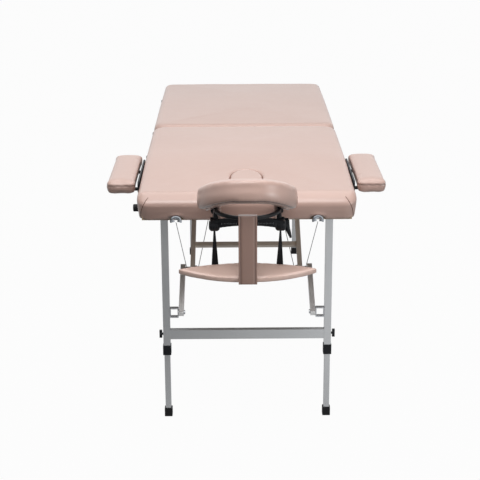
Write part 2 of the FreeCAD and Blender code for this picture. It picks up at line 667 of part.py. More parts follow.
def build_armrest(side):
    sign = SIDES[side]
    inner = "(table_width / 2 + armrest_gap)"
    top = val("armrest_bar_height + armrest_bar_thick / 2")
    form = pillow(val("armrest_width"), val("armrest_length"), top, top + val("armrest_thick"),
                  val("crown / 2"), val("edge_radius / 2"), val("drawn_in"), val("corner_radius / 2"))
    form.translate(Vector(sign * val(f"{inner} + armrest_width / 2"),
                          val(from_end("head", "armrest_from_end")), 0))
    node(f"{side}_armrest", shaped(f"{side}_armrest", form))

    length = f"({inner} + armrest_bar_under - armrest_bar_inner)"
    middle = f"{sign} * (armrest_bar_inner + {length} / 2)"
    bars = [box(f"{side}_armrest_bar{count}", (length, "armrest_bar_width", "armrest_bar_thick"),
                (middle, from_end("head", inset), "armrest_bar_height"))
            for count, inset in enumerate(BAR_PLACES)]
    node(f"{side}_armrest_bars", group(f"{side}_armrest_bars", *bars))


def build_sleeves():
    sleeves = []
    for side, sign in SIDES.items():
        for count, inset in enumerate(BAR_PLACES):
            name = f"{side}_sleeve{count}"
            body = sleeve_block(name + "_block", side, inset, "0")
            space = box(name + "_space", ("2 * rail_depth", "armrest_bar_width + 2 * slide_fit",
                                          "armrest_bar_thick + 2 * slide_fit"),
                        (f"{sign} * table_width / 2", from_end("head", inset), "armrest_bar_height"))
            sleeves.append(cut(name, body, space))
    node("armrest_sleeves", group("armrest_sleeves", *sleeves))


# Face cradle

def build_sockets():
    sockets = []
    for side in SIDES:
        name = f"{side}_cradle_socket"
        length = "side_padding + rail_wall + socket_flange_lip"
        barrel = socket_bar(name + "_barrel", side, SOCKET_RADIUS, "0", length)
        flange = socket_bar(name + "_flange", side, f"{SOCKET_RADIUS} + socket_flange",
                            "-socket_flange_lip", "socket_flange_lip")
        bore = socket_bar(name + "_bore", side, "rod_radius + running_fit",
                          "-socket_flange_lip - cut_over", f"{length} + socket_flange_lip + 2 * cut_over")
        sockets.append(cut(name, fuse(name + "_body", barrel, flange), bore))
    node("cradle_sockets", group("cradle_sockets", *sockets))


HUB_Y = from_end("head", "-hub_from_end")
LOBE_SHARE, LOBE_ROUND, BELLY_SHARE = 0.93, 0.8, 0.45
YOKE_BACK = f"({HUB_Y} - hub_radius - yoke_ahead)"
RING_OUTER, RING_INNER = "(ring_radius + ring_band / 2)", "(ring_radius - ring_band / 2)"


def build_cradle_base():
    """Two rods, the hubs on their ends, the arched yoke between them and a half ring above.

    The ring's front is a straight round bar, which the strap's loop turns on.
    """
    pieces = []
    for side, sign in SIDES.items():
        name = f"cradle_{side}"
        middle = f"{sign} * rod_offset"
        pieces.append(bar(name + "_rod", "y", "rod_radius", "hub_from_end + rod_inside",
                          (middle, HUB_Y, "rod_height")))
        pieces.append(bar(name + "_hub", "x", "hub_radius", "hub_length",
                          (f"{middle} - hub_length / 2", HUB_Y, "rod_height")))
        pieces.append(box(name + "_lug", ("hub_length", "hub_radius + yoke_ahead", "yoke_deep"),
                          (middle, f"{HUB_Y} - (hub_radius + yoke_ahead) / 2", "rod_height")))
        pieces.append(box(name + "_post", ("ring_band", "ring_post", "ring_rise + ring_thick"),
                          (f"{sign} * ring_radius", HUB_Y, "rod_height + (ring_rise + ring_thick) / 2")))
    span = val("rod_offset + hub_length / 2")
    low = val("rod_height - yoke_below")
    top = low + val("yoke_thick")
    face = Part.Face(arc_wire([
        Vector(-span, 0, low), (Vector(0, 0, low + val("yoke_arch")), Vector(span, 0, low)),
        Vector(span, 0, top), Vector(-span, 0, top),
    ]))
    face.translate(Vector(0, val(YOKE_BACK), 0))
    pieces.append(shaped("cradle_yoke", face.extrude(Vector(0, -val("yoke_deep"), 0))))
    outer, inner = val(RING_OUTER), val(RING_INNER)
    band = Part.Face(arc_wire([
        Vector(-outer, 0, 0), (Vector(0, -outer, 0), Vector(outer, 0, 0)),
        Vector(inner, 0, 0), (Vector(0, -inner, 0), Vector(-inner, 0, 0)),
    ]))
    band.translate(Vector(0, val(HUB_Y), val("rod_height + ring_rise")))
    pieces.append(shaped("cradle_ring", band.extrude(Vector(0, 0, val("ring_thick")))))
    pieces.append(bar("cradle_strap_bar", "x", "strap_bar_radius", "strap_width",
                      ("-strap_width / 2", f"{HUB_Y} - ring_radius", "rod_height + ring_rise + ring_thick / 2")))
    bores = [bar(f"cradle_{side}_lever_hole", "x", "lever_pin_radius + running_fit",
                 "hub_length + 2 * cut_over",
                 (f"{sign} * rod_offset - hub_length / 2 - cut_over", HUB_Y, "rod_height"))
             for side, sign in SIDES.items()]
    node("cradle_base", cut("cradle_base", fuse("cradle_base_body", *pieces), *bores))


def horseshoe(width, length, band):
    """A face cushion's outline about the centre of its round end, open towards +Y."""
    outer, inner = width / 2, width / 2 - band
    tip = band / 2
    lobe = outer * LOBE_SHARE
    back = length - outer - tip * LOBE_ROUND
    side = Vector(outer - (outer - lobe) / 4, back / 2, 0)
    inside = Vector(inner - (outer - lobe) / 4, back / 2, 0)
    flip = Placement(Vector(), Rotation(Vector(0, 1, 0), 180))
    return arc_wire([
        Vector(outer, 0, 0), (side, Vector(lobe, back, 0)),
        (Vector(lobe - tip, back + tip * LOBE_ROUND, 0), Vector(lobe - band, back, 0)),
        (inside, Vector(inner, 0, 0)),
        (Vector(0, -inner, 0), Vector(-inner, 0, 0)),
        (flip.multVec(inside), Vector(band - lobe, back, 0)),
        (Vector(tip - lobe, back + tip * LOBE_ROUND, 0), Vector(-lobe, back, 0)),
        (flip.multVec(side), Vector(-outer, 0, 0)),
        (Vector(0, -outer, 0), Vector(outer, 0, 0)),
    ])


def tilted(shape):
    """Raise the cradle's outer edge about the hubs' axis."""
    shape.rotate(Vector(), Vector(1, 0, 0), -val("tilt_angle"))
    shape.translate(Vector(0, val(HUB_Y), val("rod_height")))
    return shape


def build_cradle_top():
    """The tilting platform with its two ears, and the face cushion on it."""
    rise, thick = val("platform_rise"), val("platform_thick")
    width, length, band = val("face_width"), val("face_length"), val("face_band")
    margin, ear = val("platform_margin"), val("ear_thick")
    turn, seat = math.radians(val("tilt_angle")), rise + thick
    reach = val("cradle_reach - hub_from_end")
    forward = (reach + seat * math.sin(turn)) / math.cos(turn) + val("face_crown / 2")
    centre_y = width / 2 - forward
    plate = Part.Face(horseshoe(width - 2 * margin, length - 2 * margin, band - 2 * margin))
    plate = plate.extrude(Vector(0, 0, thick))
    plate.translate(Vector(0, centre_y, rise))
    eye_radius = val("ear_radius")
    ears = []
    for sign in SIDES.values():
        outside = sign * val("rod_offset - hub_length / 2 - soft_gap")
        start = min(outside, outside - sign * ear)
        block = Part.makeBox(ear, 2 * eye_radius, rise + thick / 2, Vector(start, -eye_radius, 0))
        eye = Part.makeCylinder(eye_radius, ear, Vector(start, 0, 0), Vector(1, 0, 0))
        bore = Part.makeCylinder(val("lever_pin_radius + running_fit"), ear, Vector(start, 0, 0),
                                 Vector(1, 0, 0))
        ears.append(block.fuse(eye).cut(bore))
    platform = plate.multiFuse(ears).removeSplitter()
    node("cradle_platform", shaped("cradle_platform", tilted(platform)))

    crown, full = val("face_crown"), val("face_thick")
    slices = []
    for inset, height in [(crown / 2, 0), (0, full * BELLY_SHARE), (crown / 3, full - crown), (crown, full)]:
        outline = horseshoe(width - 2 * inset, length - 2 * inset, band - 2 * inset)
        outline.translate(Vector(0, centre_y, rise + thick + height))
        slices.append(outline)
    body = Part.makeLoft(slices, True, True)
    node("face_cushion", shaped("face_cushion", tilted(body)))


def build_lever():
    """Cam lever: a pin through the right hub and ear, with a claw outside."""
    face = "(rod_offset + hub_length / 2 + soft_gap)"
    inner = "(rod_offset - hub_length / 2 - soft_gap - ear_thick)"
    pin = bar("lever_pin", "x", "lever_pin_radius", f"{face} - {inner} + lever_thick / 2",
              (inner, HUB_Y, "rod_height"))
    head = bar("lever_head", "x", "lever_head_radius", "lever_thick", (face, HUB_Y, "rod_height"))
    arm = box("lever_arm", ("lever_thick", "lever_width", "lever_length"),
              (f"{face} + lever_thick / 2", HUB_Y, "rod_height - lever_length / 2"))
    node("cradle_lever", fuse("cradle_lever", pin, head, arm))


# Hanging arm shelf

def build_shelf():
    width, thick, bow = val("shelf_width"), val("shelf_thick"), val("shelf_bow")
    gap, strap = val("soft_gap"), val("strap_thick")
    flat = val("shelf_depth - shelf_bow")
    front, z = val(f"{HUB_Y} - {RING_OUTER}"), val("shelf_height")
    y = front + bow
    outline = arc_wire([
        Vector(-width / 2, 0, 0), (Vector(0, -bow, 0), Vector(width / 2, 0, 0)),
        (Vector(0, flat, 0), Vector(-width / 2, 0, 0)),
    ])
    pad = Part.Face(outline).extrude(Vector(0, 0, thick))
    pad.translate(Vector(0, y, z))
    node("arm_shelf", shaped("arm_shelf", pad))

    hub_y = val(HUB_Y)
    back = hub_y - math.sqrt(val(RING_INNER) ** 2 - val("strap_width / 2") ** 2) + gap
    ring_low = val("rod_height + ring_rise")
    ring_top = ring_low + val("ring_thick") + gap
    face = front - gap
    inner = [(back, ring_low), (back, ring_top), (face, ring_top), (face, z - gap), (y, z - gap)]
    outer = [(y, z - gap - strap), (face - strap, z - gap - strap), (face - strap, ring_top + strap),
             (back + strap, ring_top + strap), (back + strap, ring_low)]
    node("shelf_centre_strap", shaped("shelf_centre_strap", prism(inner + outer, val("strap_width"))))

    web, web_width, offset = val("side_strap_thick"), val("side_strap_width"), val("side_strap_offset")
    hub_low = val("rod_height - hub_radius") - gap
    radius = (flat ** 2 + (width / 2) ** 2) / (2 * flat)
    inner_edge = offset - web_width / 2
    back = y + flat - radius + math.sqrt(radius ** 2 - inner_edge ** 2) + gap
    points = [(hub_y, hub_low), (back, z + thick), (back, z - gap), (y, z - gap), (y, z - gap - web),
              (back + web, z - gap - web), (back + web, z + thick), (hub_y + web, hub_low)]
    straps = [prism(points, web_width), prism(points, web_width)]
    for sign, piece in zip(SIDES.values(), straps):
        piece.translate(Vector(sign * offset, 0, 0))
    node("shelf_side_straps", shaped("shelf_side_straps", Part.Compound(straps)))


def build_plug():
    plug = breath_hole("plug_block", "plug_gap", f"{DECK_TOP} + foam_height + crown - plug_height",
                       "plug_height")
    node("breath_plug", plug)


for half in HALVES:
    build_rails(half)
    build_deck(half)
    build_cushion(half)
    build_bumpers(half)
    build_hinges(half)
    build_clevises(half)
    build_leg_frame(half)
    build_collars(half)
    build_inner_legs(half)
    build_knobs(half)
    build_brackets(half)
    build_struts(half)
    build_cables(half)
build_sleeves()
for side in SIDES:
    build_armrest(side)
build_sockets()
build_cradle_base()
build_cradle_top()
build_lever()
build_shelf()
build_plug()

doc.recompute()
for item in doc.Objects:
    if {"Invalid", "Error"} & set(item.State):
        raise RuntimeError(f"{item.Label} failed: {item.getStatusString()}")
for name, item in nodes.items():
    if item.Shape.isNull() or not item.Shape.isValid():
        raise RuntimeError(f"{name} has no valid shape")

os.makedirs("parts", exist_ok=True)
for name, item in nodes.items():
    item.Shape.exportStep(os.path.join("parts", name + ".step"))
print(len(nodes), "nodes")
heel, knee, hinge, brace, reach = strut_plane()
print("strut heel", heel, "knee", knee, "hinge", hinge, "brace", round(brace, 2), "hanger", round(reach, 2))
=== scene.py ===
# %% [markdown]
# # A folding massage table
# The frame of this lesson is a packed engineering model: every rigid piece already has its
# place and size. Here each piece gets the softness, edges and finish of the real one. Hard
# pieces stay where the engineering model puts them, and soft covers are pressed or drawn
# by a few centimetres at most.

# %% Load the frame
import json
import math

import bmesh
import bpy
from mathutils import Matrix, Vector, noise
from mathutils.bvhtree import BVHTree

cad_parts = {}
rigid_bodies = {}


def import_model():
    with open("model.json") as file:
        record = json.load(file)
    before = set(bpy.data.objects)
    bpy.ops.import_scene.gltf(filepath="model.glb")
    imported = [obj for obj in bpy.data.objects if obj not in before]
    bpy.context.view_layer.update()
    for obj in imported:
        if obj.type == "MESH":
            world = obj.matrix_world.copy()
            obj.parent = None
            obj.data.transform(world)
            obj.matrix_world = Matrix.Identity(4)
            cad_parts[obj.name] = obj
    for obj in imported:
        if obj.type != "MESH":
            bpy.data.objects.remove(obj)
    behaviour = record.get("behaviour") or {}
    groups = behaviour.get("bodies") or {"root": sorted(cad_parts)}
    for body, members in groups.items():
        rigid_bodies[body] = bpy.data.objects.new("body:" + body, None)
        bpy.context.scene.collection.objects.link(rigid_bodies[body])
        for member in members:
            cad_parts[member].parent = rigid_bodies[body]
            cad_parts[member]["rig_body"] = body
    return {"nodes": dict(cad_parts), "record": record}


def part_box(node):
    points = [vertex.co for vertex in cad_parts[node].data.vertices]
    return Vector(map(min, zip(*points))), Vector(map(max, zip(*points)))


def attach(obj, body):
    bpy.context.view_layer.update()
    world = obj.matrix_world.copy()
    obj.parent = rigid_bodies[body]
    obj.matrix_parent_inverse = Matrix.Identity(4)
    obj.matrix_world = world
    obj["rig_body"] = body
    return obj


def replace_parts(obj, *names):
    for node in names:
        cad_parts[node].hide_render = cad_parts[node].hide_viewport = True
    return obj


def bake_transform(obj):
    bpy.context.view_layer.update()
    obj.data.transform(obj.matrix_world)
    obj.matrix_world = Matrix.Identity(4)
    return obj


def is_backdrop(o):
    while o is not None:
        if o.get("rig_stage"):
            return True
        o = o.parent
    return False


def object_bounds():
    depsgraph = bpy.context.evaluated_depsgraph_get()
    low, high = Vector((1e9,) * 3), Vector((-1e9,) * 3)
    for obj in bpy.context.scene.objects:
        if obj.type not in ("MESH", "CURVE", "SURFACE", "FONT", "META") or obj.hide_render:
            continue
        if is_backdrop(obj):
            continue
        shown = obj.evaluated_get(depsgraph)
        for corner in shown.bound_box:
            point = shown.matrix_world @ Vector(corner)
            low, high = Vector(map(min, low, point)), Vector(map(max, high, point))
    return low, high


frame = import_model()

scene = bpy.context.scene
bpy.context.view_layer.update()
slot_of = {part["node"]: part["material_slot"] for part in frame["record"]["subparts"]}
body_of = {node: item["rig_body"] for node, item in frame["nodes"].items()}
HALVES = ("head", "foot")
SIDES = {"left": -1, "right": 1}

# %% [markdown]
# ## Camera
# The picture was taken from beyond the head end with a long lens, a little above the table
# and a hand's width to its left. A long lens could be faked by cropping, but giving the
# camera its real distance keeps the fold, the near legs and the far legs in step.

# %% Place the camera
CAMERA_PLACE = Vector((-0.0385, -4.5736, 1.8574))
CAMERA_PITCH, CAMERA_TURN, CAMERA_ROLL = (math.radians(a) for a in (17.814, -0.244, -0.286))
CAMERA_LENS = 93.63

lens = bpy.data.cameras.new("photo_lens")
lens.sensor_width = 36
lens.lens = CAMERA_LENS
lens.clip_end = 60
camera = bpy.data.objects.new("photo_camera", lens)
camera.matrix_world = (
    Matrix.Translation(CAMERA_PLACE)
    @ Matrix.Rotation(CAMERA_TURN, 4, "Z")
    @ Matrix.Rotation(math.pi / 2 - CAMERA_PITCH, 4, "X")
    @ Matrix.Rotation(CAMERA_ROLL, 4, "Z")
)
scene.collection.objects.link(camera)
scene.camera = camera
print("lens", lens.lens, "mm")

# %% [markdown]
# ## Shader arithmetic
# A finish is a small sum: grain plus waves, times a mask. Wiring that by hand hides the
# sum, so one class wraps a socket and lets Python's operators add the Math nodes. Every
# other node comes from one method that sets its options first and then its inputs.

# %% A socket that can be added and multiplied
class Value:
    def __init__(self, wiring, socket):
        self.wiring, self.socket = wiring, socket

    def _math(self, operation, *terms):
        return self.wiring.node("Math", {"operation": operation}, *terms)

    def __add__(self, other):
        return self._math("ADD", self, other)

    def __sub__(self, other):
        return self._math("SUBTRACT", self, other)

    def __rsub__(self, other):
        return self._math("SUBTRACT", other, self)

    def __mul__(self, other):
        return self._math("MULTIPLY", self, other)

    def __mod__(self, other):
        return self._math("FLOORED_MODULO", self, other)

    def __rmod__(self, other):
        return self._math("FLOORED_MODULO", other, self)

    def __abs__(self):
        return self._math("ABSOLUTE", self)

    def __or__(self, other):
        return self._math("MAXIMUM", self, other)

    __radd__, __rmul__, __ror__ = __add__, __mul__, __or__


class Wiring:
    """A node tree whose nodes are all made by one method."""

    def __init__(self, tree):
        self.tree = tree

    def node(self, kind, settings, *terms, output=0, sockets=None, **inputs):
        made = self.tree.nodes.new("ShaderNode" + kind)
        for name, value in settings.items():
            setattr(made, name, value)
        named = {name.replace("_", " "): value for name, value in inputs.items()}
        for key, value in [*enumerate(terms), *(sockets or {}).items(), *named.items()]:
            self.feed(made.inputs[key], value)
        return Value(self, made.outputs[output])

    def feed(self, socket, value):
        if isinstance(value, Value):
            self.tree.links.new(value.socket, socket)
        elif socket.type == "RGBA":
            socket.default_value = (*value[:3], 1)
        else:
            socket.default_value = value

    def end_with(self, shader, output):
        self.feed(self.tree.nodes[output].inputs["Surface"], shader)


class Finish(Wiring):
    """A material with one Principled shader, built from expressions."""

    def __init__(self, name, color, roughness, **fixed):
        self.material = bpy.data.materials.new(name)
        self.material.use_nodes = True
        super().__init__(self.material.node_tree)
        self.shader = self.tree.nodes["Principled BSDF"]
        self.material.diffuse_color = (*color, 1)
        self.put("Base Color", color)
        self.put("Roughness", roughness)
        for socket_name, value in fixed.items():
            self.put(socket_name.replace("_", " "), value)
        self.place = self.node("TexCoord", {}, output="Object")

    def put(self, name, value):
        self.feed(self.shader.inputs[name], value)

    def along(self, axis):
        return self.node("SeparateXYZ", {}, self.place, output=axis)

    def stretched(self, scale):
        return self.node("Mapping", {}, Vector=self.place, Scale=scale)

    def grains(self, scale, detail=2.0, place=None):
        return self.node("TexNoise", {}, Vector=place or self.place, Scale=scale, Detail=detail)

    def cells(self, scale):
        return self.node("TexVoronoi", {"feature": "F1"}, Vector=self.place, Scale=scale)

    def between(self, mask, low, high):
        """A colour between two others by a mask."""
        factor, first, second, mixed = 0, 6, 7, 2
        return self.node("Mix", {"data_type": "RGBA"}, output=mixed,
                         sockets={factor: mask, first: low, second: high})

    def bump(self, height, strength, distance=0.001):
        self.put("Normal", self.node("Bump", {}, Strength=strength, Distance=distance, Height=height))


def srgb(red, green, blue):
    """A colour as a screen shows it, turned into the linear values that shaders use."""
    def linear(level):
        level /= 255
        return level / 12.92 if level <= 0.04045 else ((level + 0.055) / 1.055) ** 2.4
    return tuple(linear(level) for level in (red, green, blue))


print("shader tools ready")

# %% [markdown]
# ## Finishes
# The covering is a soft pale vinyl with a fine pressed leather grain. Its colour drifts a
# little over a large panel, and the grain shows in the gloss more than in the colour, so
# small cells feed the bump and slow noise feeds colour and roughness.

# %% Vinyl
VINYL = srgb(199, 167, 155)
VINYL_DEEP = srgb(191, 158, 146)
# Dark brown for the painted shade in the creases of seams and stitches.
SEAM_PAINTED_SHADE = srgb(70, 50, 43)


def vinyl_finish(name, pale, deep):
    finish = Finish(name, pale, 0.46, Coat_Weight=0.8, Coat_Roughness=0.3)
    drift = finish.grains(4.0, 3.0)
    # The seam attribute mixes the colour towards that dark brown: painted shade in the creases.
    stitch_and_painted_shade = finish.node("Attribute", {"attribute_name": "seam"}, output="Fac")
    finish.put("Base Color", finish.between(stitch_and_painted_shade * 0.9, finish.between(drift, pale, deep), SEAM_PAINTED_SHADE))
    finish.put("Roughness", finish.grains(35.0) * 0.14 + 0.4)
    grain = finish.cells(700.0) * 0.6 + finish.grains(1600.0) * 0.4
    finish.bump(grain + finish.grains(16.0, 1.0) * 1.4, 0.16)
    return finish


vinyl = vinyl_finish("table_vinyl", VINYL, VINYL_DEEP)
underside_vinyl = vinyl_finish("underside_vinyl", srgb(196, 168, 157), srgb(184, 154, 143))
# A paler copy of the vinyl for the shelf: painted light on its top.
shelf_vinyl_painted_light = vinyl_finish("shelf_vinyl_painted_light", srgb(226, 195, 182), srgb(218, 186, 173))
# A darker copy of the vinyl for the centre strap: painted shade on its front.
strap_vinyl_painted_shade = vinyl_finish("strap_vinyl_painted_shade", srgb(164, 132, 120), srgb(154, 122, 110))
print("vinyl colour", VINYL)

# %% [markdown]
# The leg tubes are satin anodised aluminium, drawn lengthways. An image of brushed metal
# would need unwrapping, but noise squeezed across the tube gives fine lines along it on
# any shape. Bolts and cups are bright zinc and chrome.

# %% Metals
def drawn_metal(name, color, rough, lines, metallic=1.0):
    finish = Finish(name, color, rough, Metallic=metallic)
    streak = finish.grains(1.0, 3.0, finish.stretched(lines))
    finish.put("Roughness", streak * 0.16 + (rough - 0.08))
    finish.put("Base Color", finish.between(finish.grains(9.0), color, tuple(c * 0.93 for c in color)))
    finish.bump(streak, 0.08, 0.0004)
    return finish


ALONG_Z = (900, 900, 14)
tube_metal = drawn_metal("satin_aluminium", srgb(190, 192, 194), 0.36, ALONG_Z, 0.85)
# The hanger and the braces are the same aluminium as the legs. Their paler, less metallic copies are painted
# light for the shade under the table, and the hanger's warm tint is a painted reflection of the vinyl above
# it.
strut_metal_painted_light = drawn_metal("strut_aluminium_painted_light", srgb(240, 229, 217), 0.45, ALONG_Z, 0.05)
brace_metal_painted_light = drawn_metal("brace_aluminium_painted_light", srgb(240, 240, 240), 0.4, ALONG_Z, 0.6)
zinc = drawn_metal("zinc_steel", srgb(178, 180, 184), 0.32, (300, 300, 300))
chrome = drawn_metal("cup_chrome", srgb(168, 172, 178), 0.14, (200, 200, 200))
print("metals", tube_metal.material.name, zinc.material.name)

# %% [markdown]
# The small fittings are moulded black plastic with a fine spark-eroded texture. Shoes and
# bumpers are the same colour in duller rubber. The trays are birch plywood. Its rings could
# be painted, but waves bent by noise run through the wood, so cut edges match the faces.

# %% Plastic, rubber, plywood
def moulded(name, color, rough, cell):
    finish = Finish(name, color, rough, Specular_IOR_Level=0.2)
    grain = finish.grains(cell, 4.0)
    finish.put("Roughness", grain * 0.2 + (rough - 0.1))
    finish.put("Base Color", finish.between(finish.grains(40.0), color, tuple(c * 1.6 for c in color)))
    finish.bump(grain, 0.12, 0.0006)
    return finish


black_plastic = moulded("black_plastic", srgb(20, 22, 26), 0.42, 900.0)
black_rubber = moulded("black_rubber", srgb(24, 24, 26), 0.62, 600.0)

plywood = Finish("birch_plywood", srgb(206, 176, 136), 0.55)
rings = plywood.node("TexWave", {"wave_type": "BANDS", "bands_direction": "X"},
                     Vector=plywood.stretched((1, 0.06, 1)), Scale=22.0, Distortion=9.0, Detail=3.0,
                     output="Fac")
plywood.put("Base Color", plywood.between(rings, srgb(196, 176, 152), srgb(172, 150, 124)))
plywood.put("Roughness", rings * 0.12 + 0.5)
plywood.bump(rings, 0.08)
print("plastics and plywood ready")

# %% [markdown]
# Webbing is a plain weave: two sets of thin stripes crossing, one dark and one a little
# less dark. The stay cable is twisted steel. Modelled threads and strands would be too
# small to see, so stripes in the bump and the colour stand for both.

# %% Webbing and cable
WEAVE_PITCH, STRAND_PITCH = 0.0016, 0.003


def stripes(run, pitch):
    """Waves between 0 and 1 that repeat with a pitch along a run."""
    return abs((run % pitch) * (1 / pitch) - 0.5) * 2


webbing = Finish("black_webbing", srgb(16, 17, 20), 0.8, Specular_IOR_Level=0.15)
rib = stripes(webbing.along("Z"), WEAVE_PITCH)
weft = stripes(webbing.along("X"), WEAVE_PITCH)
webbing.put("Base Color", webbing.between(rib, srgb(10, 11, 14), srgb(26, 28, 32)))
webbing.bump(rib * 0.7 + weft * 0.3, 0.5, 0.0005)

cable_steel = Finish("stranded_cable", srgb(150, 150, 150), 0.35, Metallic=1.0)
strand = stripes(cable_steel.along("Z") + cable_steel.along("X") * 2, STRAND_PITCH)
cable_steel.put("Base Color", cable_steel.between(strand, srgb(110, 110, 112), srgb(190, 190, 192)))
cable_steel.bump(strand, 0.5, 0.0003)
print("weave pitch", WEAVE_PITCH)

# %% [markdown]
# ## Stay cables
# Two cables run from each pair of cups under the end of the table to the knees of the
# folding struts, and two more go on from the knees to the middle. A thin cylinder could
# stand for each, but a NURBS curve with a round bevel can also sag or taper, and it serves
# for the claw, the straps and the thread later on. First come the tools for any piece.

# %% Tools for pieces and wires
def show(name, mesh, finish):
    """A mesh as an object in the scene, smooth shaded and with one finish."""
    mesh.materials.clear()
    mesh.materials.append(finish.material)
    mesh.shade_smooth()
    piece = bpy.data.objects.new(name, mesh)
    scene.collection.objects.link(piece)
    return piece


def settle(piece, body, slot, *nodes):
    """Let a piece ride on a body and stand for its CAD nodes."""
    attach(piece, body)
    if nodes:
        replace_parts(piece, *nodes)
    return piece


def baked(source, name):
    """The mesh that an object shows, with its modifiers and curves worked out."""
    bpy.context.view_layer.update()
    mesh = bpy.data.meshes.new_from_object(source.evaluated_get(bpy.context.evaluated_depsgraph_get()))
    mesh.name = name
    return mesh


def discard(piece):
    data = piece.data
    bpy.data.objects.remove(piece)
    (bpy.data.curves if isinstance(data, bpy.types.Curve) else bpy.data.meshes).remove(data)


def wire(name, points, radius):
    """A round wire through points, as one open NURBS curve."""
    curve = bpy.data.curves.new(name, "CURVE")
    curve.dimensions = "3D"
    curve.bevel_depth = radius
    curve.bevel_resolution = 3
    curve.use_fill_caps = True
    spline = curve.splines.new("NURBS")
    spline.points.add(len(points) - 1)
    for point, place in zip(spline.points, points):
        point.co = (*place, 1)
    spline.order_u = 3
    spline.use_endpoint_u = True
    piece = bpy.data.objects.new(name, curve)
    scene.collection.objects.link(piece)
    return piece


print("piece tools ready")

# %% [markdown]
# The cables are taut, so each is almost a straight line through three points, with its
# middle a hair lower.

# %% Draw the cables
CABLE_RADIUS, CABLE_SAG = 0.0013, 0.0008
CABLE_ENDS = {
    "head": [((0.225, -0.785, 0.6997), (0.2055, -0.5209, 0.4613)),
             ((0.1667, -0.5209, 0.4460), (0.080, 0.089, 0.741))],
    "foot": [((0.225, 1.059, 0.6997), (0.1775, 0.7949, 0.4613)),
             ((0.1387, 0.7949, 0.4460), (0.080, 0.185, 0.741))],
}


def cable(name, half, start, end):
    """A taut cable as a mesh tube, in place of the frame's cables."""
    middle = (Vector(start) + Vector(end)) / 2 - Vector((0, 0, CABLE_SAG))
    line = wire(name + "_line", (start, middle, end), 0)
    path = [vertex.co.copy() for vertex in baked(line, name + "_path").vertices]
    line.data.bevel_depth = CABLE_RADIUS
    piece = show(name, baked(line, name), cable_steel)
    discard(line)
    length = sum((b - a).length for a, b in zip(path, path[1:]))
    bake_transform(piece)
    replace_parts(piece, f"{half}_cables")
    return length


for half, runs in CABLE_ENDS.items():
    for number, (start, end) in enumerate(runs):
        for side, sign in SIDES.items():
            ends = [(sign * x, y, z) for x, y, z in (start, end)]
            if number:  # the inner stays hang from the middle of the table
                ends.reverse()
            reach = cable(f"{half}_{side}_cable_{number}", half, *ends)
        print(half, "cable", number, round(reach, 4), "m")

# %% [markdown]
# ## Hard pieces
# Extruded tube, moulded plastic and pressed steel never end in a razor edge, and it is the
# small lit radius that makes an edge read as real. Each hard piece copies its engineering
# mesh, joins the split faces, dissolves the flat triangles and rounds every sharp edge. A
# bevel modifier could do the last step, but here the edges are chosen by their angle once.

# %% Tools for rounded edges
SHARP = math.radians(35)
FLAT = math.radians(1)


def joined(node):
    """A copy of a CAD mesh with its faces joined and its flats free of triangles."""
    shape = bmesh.new()
    shape.from_mesh(frame["nodes"][node].data)
    bmesh.ops.remove_doubles(shape, verts=shape.verts, dist=1e-5)
    bmesh.ops.dissolve_limit(shape, angle_limit=FLAT, verts=shape.verts, edges=shape.edges)
    return shape


def to_mesh(shape, name):
    bmesh.ops.recalc_face_normals(shape, faces=shape.faces)
    mesh = bpy.data.meshes.new(name)
    shape.to_mesh(mesh)
    shape.free()
    return mesh


def keep_edges(piece):
    """Smooth shading that keeps the flats flat."""
    weigh = piece.modifiers.new("flat_faces", "WEIGHTED_NORMAL")
    weigh.keep_sharp = True
    piece.data.set_sharp_from_angle(angle=SHARP)


def round_edges(shape, edge, segments=2):
    sharp = [e for e in shape.edges if len(e.link_faces) == 2 and e.calc_face_angle() > SHARP]
    bmesh.ops.bevel(shape, geom=sharp, offset=edge, offset_type="OFFSET", segments=segments,
                    affect="EDGES", profile=0.5, material=-1, clamp_overlap=True)


def eased(node, finish, edge):
    shape = joined(node)
    round_edges(shape, edge)
    piece = show(node + "_look", to_mesh(shape, node + "_look"), finish)
    keep_edges(piece)
    return settle(piece, body_of[node], slot_of[node], node)


print("edges sharper than", round(math.degrees(SHARP)), "degrees are rounded")

# %% [markdown]
# How round an edge is depends on how the piece was made: sawn plywood and cut steel are
# crisp, drawn tube is rounder, and moulded plastic and rubber are softest. A table of
# finishes and radii keeps these choices side by side, once for pieces that repeat.

# %% Round the edges of the hard pieces
HARD = {
    "side_rails": (plywood, 0.0012), "cross_rails": (plywood, 0.0012), "deck": (plywood, 0.0006),
    "bumper_feet": (black_rubber, 0.003), "hinge_leaves": (zinc, 0.0004),
    "leg_clevises": (zinc, 0.0008), "leg_pins": (zinc, 0.0008), "hanger_axle": (zinc, 0.0008),
    "leg_frame": (tube_metal, 0.0022), "leg_collars": (black_plastic, 0.002),
    "brace_brackets": (zinc, 0.0008), "braces": (brace_metal_painted_light, 0.0018), "hanger": (strut_metal_painted_light, 0.0018),
    "knee_bolts": (black_plastic, 0.0025),
}
SIDED = {"inner_leg": (tube_metal, 0.0018), "shoe": (black_rubber, 0.004), "knob": (black_plastic, 0.002)}
SINGLE = {
    "cradle_sockets": (black_plastic, 0.0012), "armrest_sleeves": (black_plastic, 0.0008),
    "left_armrest_bars": (black_plastic, 0.001), "right_armrest_bars": (black_plastic, 0.001),
}
hard = dict(SINGLE)
for half in HALVES:
    hard |= {f"{half}_{piece}": look for piece, look in HARD.items()}
    hard |= {f"{half}_{side}_{piece}": look for side in SIDES for piece, look in SIDED.items()}
for node, look in hard.items():
    eased(node, *look)
print("hard pieces", len(hard))

# %% [markdown]
# The cable cups are let into the lower edge of the padding, so each shows as half a bowl.
# Half a sphere would have no rolled rim, so a profile is spun about its axis, cut level
# with the frame's bottom, and given the thickness of pressed steel. The cover is later
# drawn over what is left of the recess.

